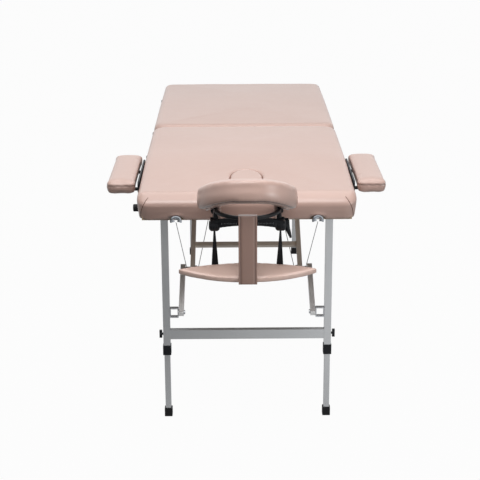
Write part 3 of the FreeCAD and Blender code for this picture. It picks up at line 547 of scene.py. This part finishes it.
# %% Spin the cable cups
CUP_BOWL = [(0.0050, 0.0075), (0.0105, 0.0060), (0.0140, 0.0015),
            (0.0155, -0.0008), (0.0175, -0.0004), (0.0180, 0.0030)]  # radius, depth
CUP_PLACE, CUP_BOTTOM, CUP_COVERED, CUP_WALL = Vector((0.225, 0.0, 0.7055)), 0.7015, 0.719, 0.0012
ROUND_STEPS = 40


def cut_level(shape, height):
    """Cut away what lies below a height."""
    bmesh.ops.bisect_plane(shape, geom=[*shape.verts, *shape.edges, *shape.faces], dist=1e-6,
                           plane_co=(0, 0, height), plane_no=(0, 0, 1), clear_inner=True)


def close_holes(shape):
    bmesh.ops.holes_fill(shape, edges=[e for e in shape.edges if e.is_boundary])


def spun(profile, place, axis):
    """A profile of points, joined in a row and spun once round about an axis through a place."""
    shape = bmesh.new()
    corners = [shape.verts.new(place + point) for point in profile]
    edges = [shape.edges.new(pair) for pair in zip(corners, corners[1:])]
    bmesh.ops.spin(shape, geom=[*corners, *edges], cent=place, axis=axis, angle=math.tau,
                   steps=ROUND_STEPS, use_merge=True)
    bmesh.ops.remove_doubles(shape, verts=shape.verts, dist=1e-5)
    return shape


def bowl(half, sign):
    """A pressed bowl with a rolled rim, spun about a line along the table and cut level below."""
    low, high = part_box(f"{half}_cable_cups")
    way, face = (1, low.y) if half == "head" else (-1, high.y)
    middle = Vector((sign * CUP_PLACE.x, face, CUP_PLACE.z))
    shape = spun([Vector((reach, way * deep, 0)) for reach, deep in CUP_BOWL], middle, (0, 1, 0))
    cut_level(shape, CUP_BOTTOM)
    bmesh.ops.solidify(shape, geom=shape.faces[:], thickness=CUP_WALL)
    return shape


for half in HALVES:
    node = f"{half}_cable_cups"
    for side, sign in SIDES.items():
        cup = show(f"{half}_{side}_cup", to_mesh(bowl(half, sign), f"{half}_{side}_cup"), chrome)
        keep_edges(cup)
        settle(cup, body_of[node], slot_of[node], node)
print("cups cut at", CUP_COVERED)

# %% [markdown]
# The tilt lock of the cradle is a claw that curls away from its hub. The round head comes
# from the engineering lever. The claw could be sculpted, but a curve with a radius at each
# point tapers evenly and is easy to bend again.

# %% Bend the claw lever
CLAW = [((0.1195, -0.923, 0.748), 1.0), ((0.1200, -0.925, 0.734), 1.0), ((0.1230, -0.928, 0.720), 0.85),
        ((0.1290, -0.927, 0.706), 0.65), ((0.1325, -0.924, 0.692), 0.4)]  # place, share of the radius
CLAW_RADIUS, LEVER_CUT, LEVER_EDGE = 0.0092, 0.731, 0.0015

claw_line = wire("claw_line", [place for place, _ in CLAW], CLAW_RADIUS)
for point, (_, share) in zip(claw_line.data.splines[0].points, CLAW):
    point.radius = share
shape = joined("cradle_lever")
cut_level(shape, LEVER_CUT)
close_holes(shape)
round_edges(shape, LEVER_EDGE)
shape.from_mesh(baked(claw_line, "claw"))
discard(claw_line)
lever = show("cradle_lever_claw", to_mesh(shape, "cradle_lever_claw"), black_plastic)
keep_edges(lever)
settle(lever, body_of["cradle_lever"], slot_of["cradle_lever"], "cradle_lever")
print("claw", len(lever.data.polygons), "faces")

# %% [markdown]
# A row of raised ticks runs along the yoke on both sides of its middle. Painted marks would
# not catch the light, so they are thin bars with eased corners, one mesh for all of them.

# %% Mark the yoke
TICK_PITCH, TICK_COUNT, TICK_FROM, TICK_HEIGHT = 0.0045, 11, 0.034, 0.7475
TICK_WIDE, TICK_DEEP, TICK_LONG, TICK_SHORT, TICK_EDGE = 0.0011, 0.0010, 0.006, 0.0035, 0.0002
YOKE_FACE = -0.957
tick_paint = moulded("pale_tick", srgb(126, 130, 134), 0.5, 900.0)
shape = bmesh.new()
for sign in SIDES.values():
    for number in range(TICK_COUNT):
        tall = TICK_LONG if number % 5 == 0 else TICK_SHORT
        place = Matrix.Translation((sign * (TICK_FROM + number * TICK_PITCH), YOKE_FACE, TICK_HEIGHT))
        bmesh.ops.create_cube(shape, size=1, matrix=place @ Matrix.Diagonal((TICK_WIDE, TICK_DEEP, tall, 1)))
round_edges(shape, TICK_EDGE)
ticks = show("yoke_scale", to_mesh(shape, "yoke_scale"), tick_paint)
settle(ticks, body_of["cradle_base"], slot_of["cradle_base"])
print("ticks", 2 * TICK_COUNT)

# %% [markdown]
# Each end of the yoke meets its hub in a ribbed barrel that lies across the table. A lathe
# shape like this is half a profile, mirrored and spun about the barrel's own line, which
# gives rounder ribs than rings stacked on a cylinder.

# %% Spin the hub barrels
BARREL_HALF = [(0.0030, 0.0188), (0.0048, 0.0178), (0.0066, 0.0186), (0.0100, 0.0178),
               (0.0132, 0.0158), (0.0156, 0.0128), (0.0168, 0.0090)]  # across, radius
BARREL = [(-across, reach) for across, reach in reversed(BARREL_HALF)] + BARREL_HALF
BARREL_PLACE, BARREL_EDGE = Vector((0.101, -0.9385, 0.7372)), 0.0008
for side, sign in SIDES.items():
    middle = Vector((sign * BARREL_PLACE.x, BARREL_PLACE.y, BARREL_PLACE.z))
    barrel = spun([Vector((across, 0, reach)) for across, reach in BARREL], middle, (1, 0, 0))
    close_holes(barrel)
    round_edges(barrel, BARREL_EDGE)
    cover = show(f"{side}_hub_barrel", to_mesh(barrel, f"{side}_hub_barrel"), black_plastic)
    keep_edges(cover)
    settle(cover, body_of["cradle_base"], slot_of["cradle_base"])
    print(side, "barrel", len(cover.data.polygons), "faces")

# %% [markdown]
# ## Table cushions
# Each half is a foam slab under vinyl that is pulled tight and stapled below. A cover could
# be modelled face by face, but the engineering cushion already has the right size and
# corners. So its copy is remeshed into even squares, relaxed, and then pushed by rules: a
# rule gives each point a depth, and a painted shade that darkens the vinyl in a seam's crease.

# %% Tools for soft covers
def within(value, top=1.0):
    """A value kept between 0 and a top."""
    return max(0.0, min(top, value))


def smooth(share):
    """A share from 0 to 1 that starts and ends gently."""
    return share * share * (3 - 2 * share)


def bell(distance, width):
    """1 on a line, fading to 0 at both sides of it."""
    return math.exp(-(distance / width) ** 2)


def gather(run, pitch, depth=0.5):
    """Waves of a pitch that reach up to 1."""
    return 1 - depth + depth * math.sin(run / pitch * math.tau)


def even_mesh(shape, node, voxel, inset=0.0):
    """A closed shape as even squares of one size, shrunk a little if asked."""
    source = show(node + "_source", to_mesh(shape, node + "_source"), vinyl)
    squares = source.modifiers.new("even", "REMESH")
    squares.mode, squares.voxel_size = "VOXEL", voxel
    mesh = baked(source, node + "_even")
    discard(source)
    for vertex, way in zip(mesh.vertices, [v.normal.copy() for v in mesh.vertices]):
        vertex.co -= way * inset
    return mesh


def relaxed(mesh, times, factor=0.5):
    shape = bmesh.new()
    shape.from_mesh(mesh)
    for _ in range(times):
        bmesh.ops.smooth_vert(shape, verts=shape.verts, factor=factor,
                              use_axis_x=True, use_axis_y=True, use_axis_z=True)
    shape.to_mesh(mesh)
    shape.free()


def push_in(mesh, rule):
    """Push points in and paint shade on them: rule(place, way) gives metres and a painted shade from 0 to 1.
    """
    pushes = [rule(vertex.co, vertex.normal) for vertex in mesh.vertices]
    moves = [vertex.normal * depth for vertex, (depth, _) in zip(mesh.vertices, pushes)]
    for vertex, move in zip(mesh.vertices, moves):
        vertex.co -= move
    mesh.attributes.new("seam", "FLOAT", "POINT").data.foreach_set("value", [mark for _, mark in pushes])


print("cover tools ready")

# %% [markdown]
# The foam gives way at the ends: the top falls gently towards them, most at the head, the
# upper edge is a wide round, and below it the skirt is tucked in towards the staples. The
# breath hole is drawn a little longer towards the head. Moving the points of the even mesh
# by height and distance from the end does all three and leaves the rest where it is.

# %% Shape the ends
EDGE_SWEEP, EDGE_KEPT = 0.052, 0.026
TUCK, TUCK_TOP, SKIRT, SKIRT_STILL = 0.005, 0.765, 0.03, 0.2
END_FALL, FALL_REACH = {"head": 0.019, "foot": 0.009}, 0.50
HOLE_MIDDLE, HOLE_FADE, HOLE_DRAW, HOLE_HALF, HOLE_LOW = -0.60, 0.16, 0.025, 0.09, 0.76


def round_drop(depth, radius):
    """How far a round edge has dropped at a depth from the outside."""
    short = max(0.0, radius - max(0.0, depth))
    return radius - math.sqrt(radius ** 2 - short ** 2)


def end_fall(half, from_end):
    """How far the foam's top falls away towards the end of the table."""
    return END_FALL[half] * smooth(max(0.0, 1 - from_end / FALL_REACH))


def bullnose(mesh, half):
    """Round the end's top edge widely and tuck its skirt in towards the staples."""
    low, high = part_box(f"{half}_cushion")
    way = 1 if half == "head" else -1
    end = low.y if half == "head" else high.y
    for vertex in mesh.vertices:
        place = vertex.co
        from_end = way * (place.y - end)
        share = within((place.z - low.z) / (high.z - low.z) * (1 + SKIRT_STILL) - SKIRT_STILL)
        wider = round_drop(from_end, EDGE_SWEEP) - round_drop(from_end, EDGE_KEPT)
        place.z -= share * (wider + end_fall(half, from_end))
        tuck = TUCK * max(0.0, (TUCK_TOP - place.z) / (TUCK_TOP - low.z)) ** 2
        place.y += way * tuck * max(0.0, 1 - from_end / SKIRT)


def lengthen_hole(mesh):
    """Draw the near end of the breath hole towards the head end."""
    for vertex in mesh.vertices:
        along = (HOLE_MIDDLE - vertex.co.y) / HOLE_FADE
        if 0 < along < 1 and abs(vertex.co.x) < HOLE_HALF and vertex.co.z > HOLE_LOW:
            vertex.co.y -= HOLE_DRAW * math.sin(math.pi * along)


print("fall of the ends", END_FALL)

# %% [markdown]
# On the flat top the vinyl lies in slow waves. Down the sides it shows short pulls, one at
# each staple, and it is drawn over what the cable cups leave of their recess.

# %% Pull the covering over each half
TABLE_VOXEL = 0.005
TOP_WAVE, WAVES_PER_METRE, FLAT_TOP = 0.0011, 7.0, 0.7
SIDE_PULL, PULL_PITCH, PULL_TOP, PULL_REACH = 0.0016, 0.085, 0.76, 0.05


def table_pull(place, way):
    """Gentle waves on the top, staple pulls on the sides."""
    wave = noise.noise(place * WAVES_PER_METRE) * TOP_WAVE
    if abs(way.z) > FLAT_TOP:
        return (wave if way.z > 0 else 0.0), 0.0
    run = place.y if abs(way.x) > abs(way.y) else place.x
    return gather(run, PULL_PITCH) * within((PULL_TOP - place.z) / PULL_REACH) * SIDE_PULL, 0.0


def cushion(half):
    node = f"{half}_cushion"
    shape = joined(node)
    cups = joined(f"{half}_cable_cups")
    cut_level(cups, CUP_COVERED)
    close_holes(cups)
    shape.from_mesh(to_mesh(cups, node + "_over_cups"))
    mesh = even_mesh(shape, node, TABLE_VOXEL)
    relaxed(mesh, 3)
    bullnose(mesh, half)
    if half == "head":
        lengthen_hole(mesh)
    push_in(mesh, table_pull)
    piece = show(node + "_cover", mesh, vinyl)
    settle(piece, body_of[node], slot_of[node], node)
    return piece


covers = {half: cushion(half) for half in HALVES}
for half, piece in covers.items():
    print(half, "cover", len(piece.data.polygons), "faces")

# %% [markdown]
# At the two corners nearest the camera the covering is cut and sewn: a line of thread runs
# from the top edge round and down the front. Its points are dropped onto the cover, so
# that the thread lies on the vinyl and not in the air.

# %% Sew the corners
CORNER_SEAM = [(0.312, 0.779), (0.320, 0.770), (0.328, 0.757),
               (0.334, 0.741), (0.337, 0.726), (0.338, 0.714)]  # across, height
SEAM_STEPS, CORNER_THREAD, THREAD_LIFT, IN_FRONT = 5, 0.0010, 0.4, -1.2
# The thread's dark brown is partly the thread and partly painted shade in the crease of the seam.
thread_and_shade = moulded("seam_thread_and_crease_shade", srgb(104, 80, 70), 0.7, 900.0)
surface = BVHTree.FromObject(covers["head"], bpy.context.evaluated_depsgraph_get())
marks = [Vector(a).lerp(Vector(b), step / SEAM_STEPS)
         for a, b in zip(CORNER_SEAM, CORNER_SEAM[1:]) for step in range(SEAM_STEPS)]
for side, sign in SIDES.items():
    hits = [surface.ray_cast(Vector((sign * x, IN_FRONT, z)), Vector((0, 1, 0)))[:2] for x, z in marks]
    lifted = [hit + way * CORNER_THREAD * THREAD_LIFT for hit, way in hits if hit]
    line = wire(f"{side}_corner_line", lifted, CORNER_THREAD)
    seam = show(f"{side}_corner_seam", baked(line, f"{side}_corner_seam"), thread_and_shade)
    discard(line)
    settle(seam, body_of["head_cushion"], slot_of["head_cushion"])
    print(side, "seam points", len(lifted))

# %% [markdown]
# ## Padded pieces
# The face cushion, armrests, shelf and breath plug are soft enough to swell between their
# seams. Cloth with a little air pressure does that: the copy starts smaller, is blown up
# for twenty frames, and no point may travel further than a set limit.

# %% Tools for blown pads
CLOTH_FRAMES, AIR_PRESSURE, PAD_VOXEL = 20, 4.0, 0.004


def blown(node, inset, limit):
    mesh = even_mesh(joined(node), node, PAD_VOXEL, inset)
    rest = [vertex.co.copy() for vertex in mesh.vertices]
    pad = show(node + "_blown", mesh, vinyl)
    cloth = pad.modifiers.new("air", "CLOTH")
    cloth.settings.use_pressure = True
    cloth.settings.uniform_pressure_force = AIR_PRESSURE
    cloth.settings.effector_weights.gravity = 0
    cloth.point_cache.frame_end = CLOTH_FRAMES
    for number in range(1, CLOTH_FRAMES + 1):
        scene.frame_set(number)
    done = baked(pad, node + "_swollen")
    discard(pad)
    scene.frame_set(1)
    for vertex, start in zip(done.vertices, rest):
        move = vertex.co - start
        if move.length > limit:
            vertex.co = start + move.normalized() * limit
    return done


def pad_piece(node, mesh, finish):
    piece = show(node + "_pad", mesh, finish)
    finer = piece.modifiers.new("finer", "SUBSURF")
    finer.levels = finer.render_levels = 1
    settle(piece, body_of[node], slot_of[node], node)
    return piece


print("cloth frames", CLOTH_FRAMES)

# %% [markdown]
# An armrest is a box cushion: a domed top sewn to a straight side. The thread gathers the
# vinyl, so the line of the seam goes in and wavers a little. Pressing the points near one
# height does this without cutting the mesh in two.

# %% Blow up the armrests
# The last of these is how dark the painted shade in the seam's crease is.
ARM_SEAM, ARM_SEAM_WIDTH, ARM_SEAM_DEPTH, ARM_SEAM_PAINTED_SHADE = 0.779, 0.003, 0.0022, 0.7
ARM_PUCKER, ARM_PUCKER_DEPTH, ARM_SIDE = math.tau / 260, 0.4, 0.8


def armrest_seam(place, way):
    """The box seam round an armrest, below its domed top, with painted shade in its crease."""
    near = bell(place.z - ARM_SEAM, ARM_SEAM_WIDTH) * (abs(way.z) < ARM_SIDE)
    pucker = gather(place.y + place.x, ARM_PUCKER, ARM_PUCKER_DEPTH)
    return near * pucker * ARM_SEAM_DEPTH, near * ARM_SEAM_PAINTED_SHADE


for side in SIDES:
    mesh = blown(f"{side}_armrest", 0.0015, 0.003)
    relaxed(mesh, 3)
    push_in(mesh, armrest_seam)
    pad = pad_piece(f"{side}_armrest", mesh, vinyl)
    print(pad.name, len(mesh.polygons), "faces")

# %% [markdown]
# Behind each armrest a black plate ties its two bars together. A drawn outline could be
# filled, but a flat box with four corners rounded widely, and then every edge rounded a
# little, is the same shape in fewer steps.

# %% Cut the armrest plates
PLATE_FACE, PLATE_LOW, PLATE_HIGH = 0.3555, 0.7455, 0.784
PLATE_THICK, PLATE_OVER, PLATE_CORNER, PLATE_EDGE = 0.006, 0.07, 0.012, 0.001
for side, sign in SIDES.items():
    node = f"{side}_armrest_bars"
    low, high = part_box(node)
    size = Matrix.Diagonal((PLATE_THICK, high.y - low.y + PLATE_OVER, PLATE_HIGH - PLATE_LOW, 1))
    place = Matrix.Translation((sign * PLATE_FACE, (low.y + high.y) / 2, (PLATE_LOW + PLATE_HIGH) / 2))
    shape = bmesh.new()
    bmesh.ops.create_cube(shape, size=1, matrix=place @ size)
    through = [e for e in shape.edges if abs(e.verts[0].co.x - e.verts[1].co.x) > PLATE_THICK / 2]
    bmesh.ops.bevel(shape, geom=through, offset=PLATE_CORNER, segments=5,
                    affect="EDGES", profile=0.5, material=-1)
    round_edges(shape, PLATE_EDGE)
    plate = show(f"{side}_armrest_plate", to_mesh(shape, f"{side}_armrest_plate"), black_plastic)
    keep_edges(plate)
    settle(plate, body_of[node], slot_of[node])
    print(plate.name, "over", tuple(low), tuple(high))

# %% [markdown]
# The shelf and the breath plug are plain pads without a seam that shows. The plug follows
# the hole it sits in, so it is drawn longer and lowered by the same fall as the cushion.

# %% Blow up the shelf and the plug
def no_seam(place, way):
    return 0.0, 0.0


mesh = blown("arm_shelf", 0.002, 0.003)
relaxed(mesh, 2)
push_in(mesh, no_seam)
pad_piece("arm_shelf", mesh, shelf_vinyl_painted_light)
print("shelf", len(mesh.polygons), "faces")

mesh = blown("breath_plug", 0.0015, 0.002)
relaxed(mesh, 2)
lengthen_hole(mesh)
head_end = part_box("head_cushion")[0].y
for vertex in mesh.vertices:
    vertex.co.z -= end_fall("head", vertex.co.y - head_end)
push_in(mesh, no_seam)
pad_piece("breath_plug", mesh, vinyl)
print("plug", len(mesh.polygons), "faces")

# %% [markdown]
# ## Face cradle
# The yoke, hubs and half ring are one moulding with soft corners everywhere. Bevels would
# have to meet at many odd corners, so the moulding is remeshed finely and relaxed. Between
# these two steps the yoke's arch is raised and the lugs are drawn in under the barrels.

# %% Soften the cradle's moulding
HUB = Vector((0, -0.923, 0.742))
BASE_VOXEL = 0.0016
YOKE_BACK, YOKE_TOP, YOKE_HALF, YOKE_RISE, RISE_REACH = -0.9415, 0.772, 0.112, 0.013, 0.010
LUG_INNER, LUG_OUTER, LUG_ABOVE, LUG_BEHIND, LUG_ROUND = 0.086, 0.118, 0.012, 0.018, 0.0170
base_mesh = even_mesh(joined("cradle_base"), "cradle_base", BASE_VOXEL)
for vertex in base_mesh.vertices:
    place = vertex.co
    if place.y < YOKE_BACK and HUB.z < place.z < YOKE_TOP and abs(place.x) < YOKE_HALF:
        arch = 1 - (place.x / YOKE_HALF) ** 2
        place.z += YOKE_RISE * min(1.0, (place.z - HUB.z) / RISE_REACH) * arch
    if LUG_INNER < abs(place.x) < LUG_OUTER and place.z < BARREL_PLACE.z + LUG_ABOVE:
        out = Vector((0, place.y - BARREL_PLACE.y, place.z - BARREL_PLACE.z))
        if out.length > LUG_ROUND and place.y < HUB.y + LUG_BEHIND:
            place -= out * (1 - LUG_ROUND / out.length)
relaxed(base_mesh, 8)
base = show("cradle_base_moulding", base_mesh, black_plastic)
settle(base, body_of["cradle_base"], slot_of["cradle_base"], "cradle_base")
print("moulding", len(base_mesh.polygons), "faces")

# %% [markdown]
# The face cushion is a horseshoe on a tilting board. Its cover is sewn just above the
# board, and the thread gathers it into small puckers, so points close to that seam go in,
# deeper between stitches than at them. The cover is then pressed down and its outer edge
# hangs over the board. All heights are measured along the tilt of the board.

# %% Tools for the face cushion
TILT = math.radians(18)
UP_TILTED = Vector((0, math.sin(TILT), math.cos(TILT)))
ALONG_TILTED = Vector((0, math.cos(TILT), -math.sin(TILT)))
FACE_MIDDLE, FACE_REACH, FACE_SEAT, FACE_TOP = -0.0229, 0.153, 0.0605, 0.134
SEAM_RISE, SEAM_WIDTH, SEAM_DEPTH = 0.0645, 0.0035, 0.0030
PUCKER_PITCH, PUCKER_REACH, PUCKER_DEPTH = 0.013, 0.014, 0.0014
RIM, RIM_SQUARE, RIM_FROM, LIP, LIP_SIDE, LOWER = 0.026, 3.2, 0.01, 0.036, 6, 0.014


# Near the seam the rule also gives a painted shade, for the shade in its crease.
def face_seam(place, way):
    rise = (place - HUB).dot(UP_TILTED) - SEAM_RISE
    near = bell(rise, SEAM_WIDTH)
    around = math.atan2(place.x, -(place.y - HUB.y)) * FACE_REACH
    fold = bell(rise, PUCKER_REACH) * gather(around, PUCKER_PITCH) * PUCKER_DEPTH
    return near * SEAM_DEPTH + fold, near


def wrap_board(mesh):
    """Press the top down, tighten its rim and let the outer edge hang over the board."""
    for vertex in mesh.vertices:
        rel = vertex.co - HUB
        rise, run = rel.dot(UP_TILTED), rel.dot(ALONG_TILTED) - FACE_MIDDLE
        reach = math.hypot(rel.x, min(run, 0.0))
        corner_out = (reach - FACE_REACH + RIM) / RIM
        corner_up = (rise - FACE_TOP + RIM) / RIM
        if corner_out > 0 and corner_up > 0 and reach > RIM_FROM:
            square = (corner_out ** RIM_SQUARE + corner_up ** RIM_SQUARE) ** (1 / RIM_SQUARE)
            tight = math.hypot(corner_out, corner_up) / square
            grow = 1 + (corner_out * (tight - 1)) * RIM / reach
            vertex.co.x *= grow
            if run < 0:
                vertex.co += ALONG_TILTED * run * (grow - 1)
            vertex.co += UP_TILTED * corner_up * (tight - 1) * RIM
        lip = smooth(within((reach - FACE_REACH + LIP) / LIP))
        share = within((rise - FACE_SEAT) / (FACE_TOP - FACE_SEAT))
        front = 1 - min(1.0, abs(rel.x) / FACE_REACH) ** LIP_SIDE
        vertex.co -= UP_TILTED * LOWER * max(share, lip * front)


print("tilt", round(math.degrees(TILT)), "degrees")

# %% [markdown]
# The board under the cushion is bent: its sides hang lower than its middle, and the
# cushion follows. One rule lowers both, the cushion's top a little less than the board.

# %% Sew the face cushion
DISH, DISH_TOP, WIDEN = 0.036, 0.020, 1.03
DISH_FROM, DISH_REACH, DISH_MOST, DISH_SEAT, DISH_RISE = 0.04, 0.115, 1.2, 0.05, 0.07
BOARD_VOXEL = 0.003


def dish(mesh):
    """Let the sides of the cushion or its board hang lower than the middle."""
    for vertex in mesh.vertices:
        out = within((abs(vertex.co.x) - DISH_FROM) / DISH_REACH, DISH_MOST)
        share = within(((vertex.co - HUB).dot(UP_TILTED) - DISH_SEAT) / DISH_RISE)
        vertex.co.z -= (DISH + (DISH_TOP - DISH) * share) * out * out
        vertex.co.x *= WIDEN


mesh = blown("face_cushion", 0.002, 0.009)
relaxed(mesh, 5)
push_in(mesh, face_seam)
wrap_board(mesh)
relaxed(mesh, 4)
dish(mesh)
board_mesh = even_mesh(joined("cradle_platform"), "cradle_platform", BOARD_VOXEL)
relaxed(board_mesh, 2)
dish(board_mesh)
board = show("cradle_platform_cover", board_mesh, underside_vinyl)
settle(board, body_of["cradle_platform"], "vinyl", "cradle_platform")
pad_piece("face_cushion", mesh, vinyl)
print("face cushion", len(mesh.polygons), "faces")

# %% [markdown]
# ## Straps
# The shelf hangs from a padded vinyl strap in front and two webbing straps behind. A strap
# is a ribbon: a smooth line is drawn where it runs, its edges are extruded sideways in
# steps, and the steps are then moved to make the sewn borders, the padding or a twist.

# %% Tools for ribbons
def ribbon(name, points, width, steps):
    """A ribbon across X along a smooth line, as a bmesh with its steps left to right."""
    line = wire(name + "_line", points, 0)
    shape = bmesh.new()
    shape.from_mesh(baked(line, name + "_path"))
    discard(line)
    bmesh.ops.translate(shape, verts=shape.verts, vec=(-width / 2, 0, 0))
    edges = list(shape.edges)
    for _ in range(steps):
        grown = bmesh.ops.extrude_edge_only(shape, edges=edges)["geom"]
        edges = [e for e in grown if isinstance(e, bmesh.types.BMEdge)]
        bmesh.ops.translate(shape, verts=[v for v in grown if isinstance(v, bmesh.types.BMVert)],
                            vec=(width / steps, 0, 0))
    return shape


def thicken(piece, thickness):
    wall = piece.modifiers.new("thickness", "SOLIDIFY")
    wall.thickness, wall.offset = thickness, 0.0
    edge = piece.modifiers.new("soft_edge", "BEVEL")
    edge.width, edge.segments, edge.limit_method = thickness * 0.3, 2, "ANGLE"
    mesh = baked(piece, piece.name)
    piece.modifiers.clear()
    piece.data = mesh
    return piece


def hang(piece, node):
    """Put a strap in place of its CAD node."""
    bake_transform(piece)
    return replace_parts(piece, node)


print("ribbon tools ready")

# %% [markdown]
# The centre strap is sewn under the shelf, runs up its front, goes over the half ring and
# ends inside it. A row of stitches along each border holds the padding in the middle. The
# ribbon's own steps are fine enough to be pushed out as padding and in as stitches.

# %% Sew the centre strap
RING_TOP, SHELF_UNDER, STRAP_FRONT = 0.789, 0.5762, -1.0279
STRAP_LINE = [(0, along, height) for along, height in (
    (-0.9500, SHELF_UNDER), (-0.9900, SHELF_UNDER), (-1.0262, SHELF_UNDER), (STRAP_FRONT, 0.5800),
    (STRAP_FRONT, 0.6200), (STRAP_FRONT, 0.6900), (STRAP_FRONT, 0.7600), (STRAP_FRONT, RING_TOP + 0.001),
    (-1.0260, RING_TOP + 0.0020), (-1.0200, RING_TOP + 0.0020), (-1.0110, RING_TOP + 0.0020),
    (-1.0085, RING_TOP + 0.0010), (-1.0085, RING_TOP - 0.0090))]
STRAP_WIDTH, STRAP_STEPS, STRAP_THICK, HANGING_FACE = 0.056, 28, 0.0028, -1.0270
BORDER, PADDING, PADDING_RISE, STITCH, STITCH_WIDTH = 0.0065, 0.0009, 0.006, 0.0007, 0.0015
strap_shape = ribbon("centre_strap", STRAP_LINE, STRAP_WIDTH, STRAP_STEPS)
# The stitch lines along the borders also get painted shade, for the shade in their creases.
strap_painted_shade = strap_shape.verts.layers.float.new("seam")
for vertex in strap_shape.verts:
    if vertex.co.y < HANGING_FACE:
        from_border = STRAP_WIDTH / 2 - abs(vertex.co.x) - BORDER
        stitch_and_painted_shade = bell(from_border, STITCH_WIDTH)
        vertex.co.y -= PADDING * within(from_border / PADDING_RISE) - STITCH * stitch_and_painted_shade
        vertex[strap_painted_shade] = stitch_and_painted_shade
strap_mesh = to_mesh(strap_shape, "shelf_centre_strap_sewn")
centre_strap = thicken(show("shelf_centre_strap_sewn", strap_mesh, strap_vinyl_painted_shade), STRAP_THICK)
hang(centre_strap, "shelf_centre_strap")
print("strap", len(centre_strap.data.polygons), "faces")

# %% [markdown]
# The webbing is edge-on at the hub, where it comes off the round barrel, and turns flat
# towards the shelf it is tacked under. The twist is a rotation about the strap's own line
# that fades with height.

# %% Twist the webbing
WEB_WIDTH, WEB_STEPS, WEB_THICK, WEB_X, WEB_BACK, EDGE_ON = 0.021, 8, 0.0018, 0.101, -0.8935, 0.85
web_low, web_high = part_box("shelf_side_straps")
shelf_low, shelf_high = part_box("arm_shelf")
web_under = web_low.z + 0.001
WEB_LINE = [(0, along, height) for along, height in (
    (-0.923, web_high.z), (-0.920, 0.700), (-0.910, 0.660), (WEB_BACK - 0.002, 0.620),
    (WEB_BACK + 0.001, 0.600), (WEB_BACK, shelf_low.z), (WEB_BACK - 0.004, web_under), (-0.930, web_under))]
for side, sign in SIDES.items():
    name = f"shelf_{side}_webbing"
    shape = ribbon(f"{side}_web", WEB_LINE, WEB_WIDTH, WEB_STEPS)
    for vertex in shape.verts:
        rise = within((vertex.co.z - shelf_high.z) / (web_high.z - shelf_high.z))
        turn = sign * math.acos(1 - EDGE_ON * rise)
        across = vertex.co.x
        vertex.co.x = sign * WEB_X + across * math.cos(turn)
        vertex.co.y += across * math.sin(turn)
    piece = thicken(show(name, to_mesh(shape, name), webbing), WEB_THICK)
    hang(piece, "shelf_side_straps")
    print(name, len(piece.data.polygons), "faces")

# %% [markdown]
# ## Floor and light
# The photograph is a studio cut-out on pure white. A white floor would throw too much light
# up at the trays, so the floor is dull grey to the light that bounces from it, and white to
# the camera. In reflections the ground in front grows brighter towards the right, as the
# legs show it.

# %% Lay the floor
FLOOR_REACH, FLOOR_GREY, FLOOR_WHITE = 14.0, (0.2, 0.2, 0.2), 0.97
GLOW_FROM, GLOW_SLOPE, GLOW_MIDDLE, GLOW_LEAST, GLOW_MOST = -0.6, 1.5, 0.6, 0.1, 1.6
WHITE = (1, 1, 1)


def ray(wiring, kind):
    """1 for light paths of a kind."""
    return wiring.node("LightPath", {}, output=f"Is {kind} Ray")


floor_shape = bmesh.new()
bmesh.ops.create_grid(floor_shape, x_segments=2, y_segments=2, size=FLOOR_REACH)
floor_paint = Finish("white_floor", FLOOR_GREY, 0.9)
show("studio_floor", to_mesh(floor_shape, "studio_floor"), floor_paint)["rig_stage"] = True
ahead = (GLOW_FROM - floor_paint.along("Y")) | 0.0
glow = floor_paint.along("X") * ahead * GLOW_SLOPE + GLOW_MIDDLE
glow = floor_paint.node("Clamp", {}, glow, GLOW_LEAST, GLOW_MOST)
seen = ray(floor_paint, "Camera") | ray(floor_paint, "Transmission") | ray(floor_paint, "Glossy") * glow
dull = Value(floor_paint, floor_paint.shader.outputs[0])
white = floor_paint.node("Emission", {}, Color=WHITE, Strength=1.0)
floor_paint.end_with(floor_paint.node("MixShader", {}, seen * FLOOR_WHITE, dull, white), "Material Output")
print("floor reach", FLOOR_REACH)

# %% [markdown]
# The walls are white to the camera and in reflections as well, but give almost no light of
# their own. The light comes from a wide softbox overhead, a narrower one above the front
# and a fill from the right.

# %% Hang the lights
WALL_LIGHT, WALL_SEEN = 0.03, 1.0
world = bpy.data.worlds.new("studio")
scene.world = world
world.use_nodes = True
walls = Wiring(world.node_tree)
walls.tree.nodes.remove(walls.tree.nodes["Background"])
dim, bright = (walls.node("Background", {}, Color=WHITE, Strength=s) for s in (WALL_LIGHT, WALL_SEEN))
seen = ray(walls, "Camera") | ray(walls, "Glossy") | ray(walls, "Transmission")
walls.end_with(walls.node("MixShader", {}, seen, dim, bright), "World Output")
scene.view_settings.view_transform = "Standard"


def softbox(name, place, target, size, power):
    """A flat rectangular lamp that faces a target."""
    light = bpy.data.lights.new(name, "AREA")
    light.shape, light.size, light.size_y, light.energy = "RECTANGLE", *size, power
    lamp = bpy.data.objects.new(name, light)
    facing = (Vector(target) - Vector(place)).to_track_quat("-Z", "Y").to_matrix().to_4x4()
    lamp.matrix_world = Matrix.Translation(place) @ facing
    scene.collection.objects.link(lamp)
    print(name, power, "W")


softbox("overhead_softbox", (0, -0.2, 3.1), (0, -0.2, 0.8), (3.0, 3.4), 56)
softbox("front_softbox", (-0.3, -2.3, 3.3), (0, -0.95, 0.6), (2.4, 1.2), 54)
softbox("right_fill", (3.2, -3.0, 1.3), (0, -0.6, 0.6), (1.3, 1.3), 40)

# %% [markdown]
# ## Finish
# The last cell prints the box round the finished pieces.

# %% Measure and finish
low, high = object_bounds()
print("visual box", tuple(low), tuple(high))
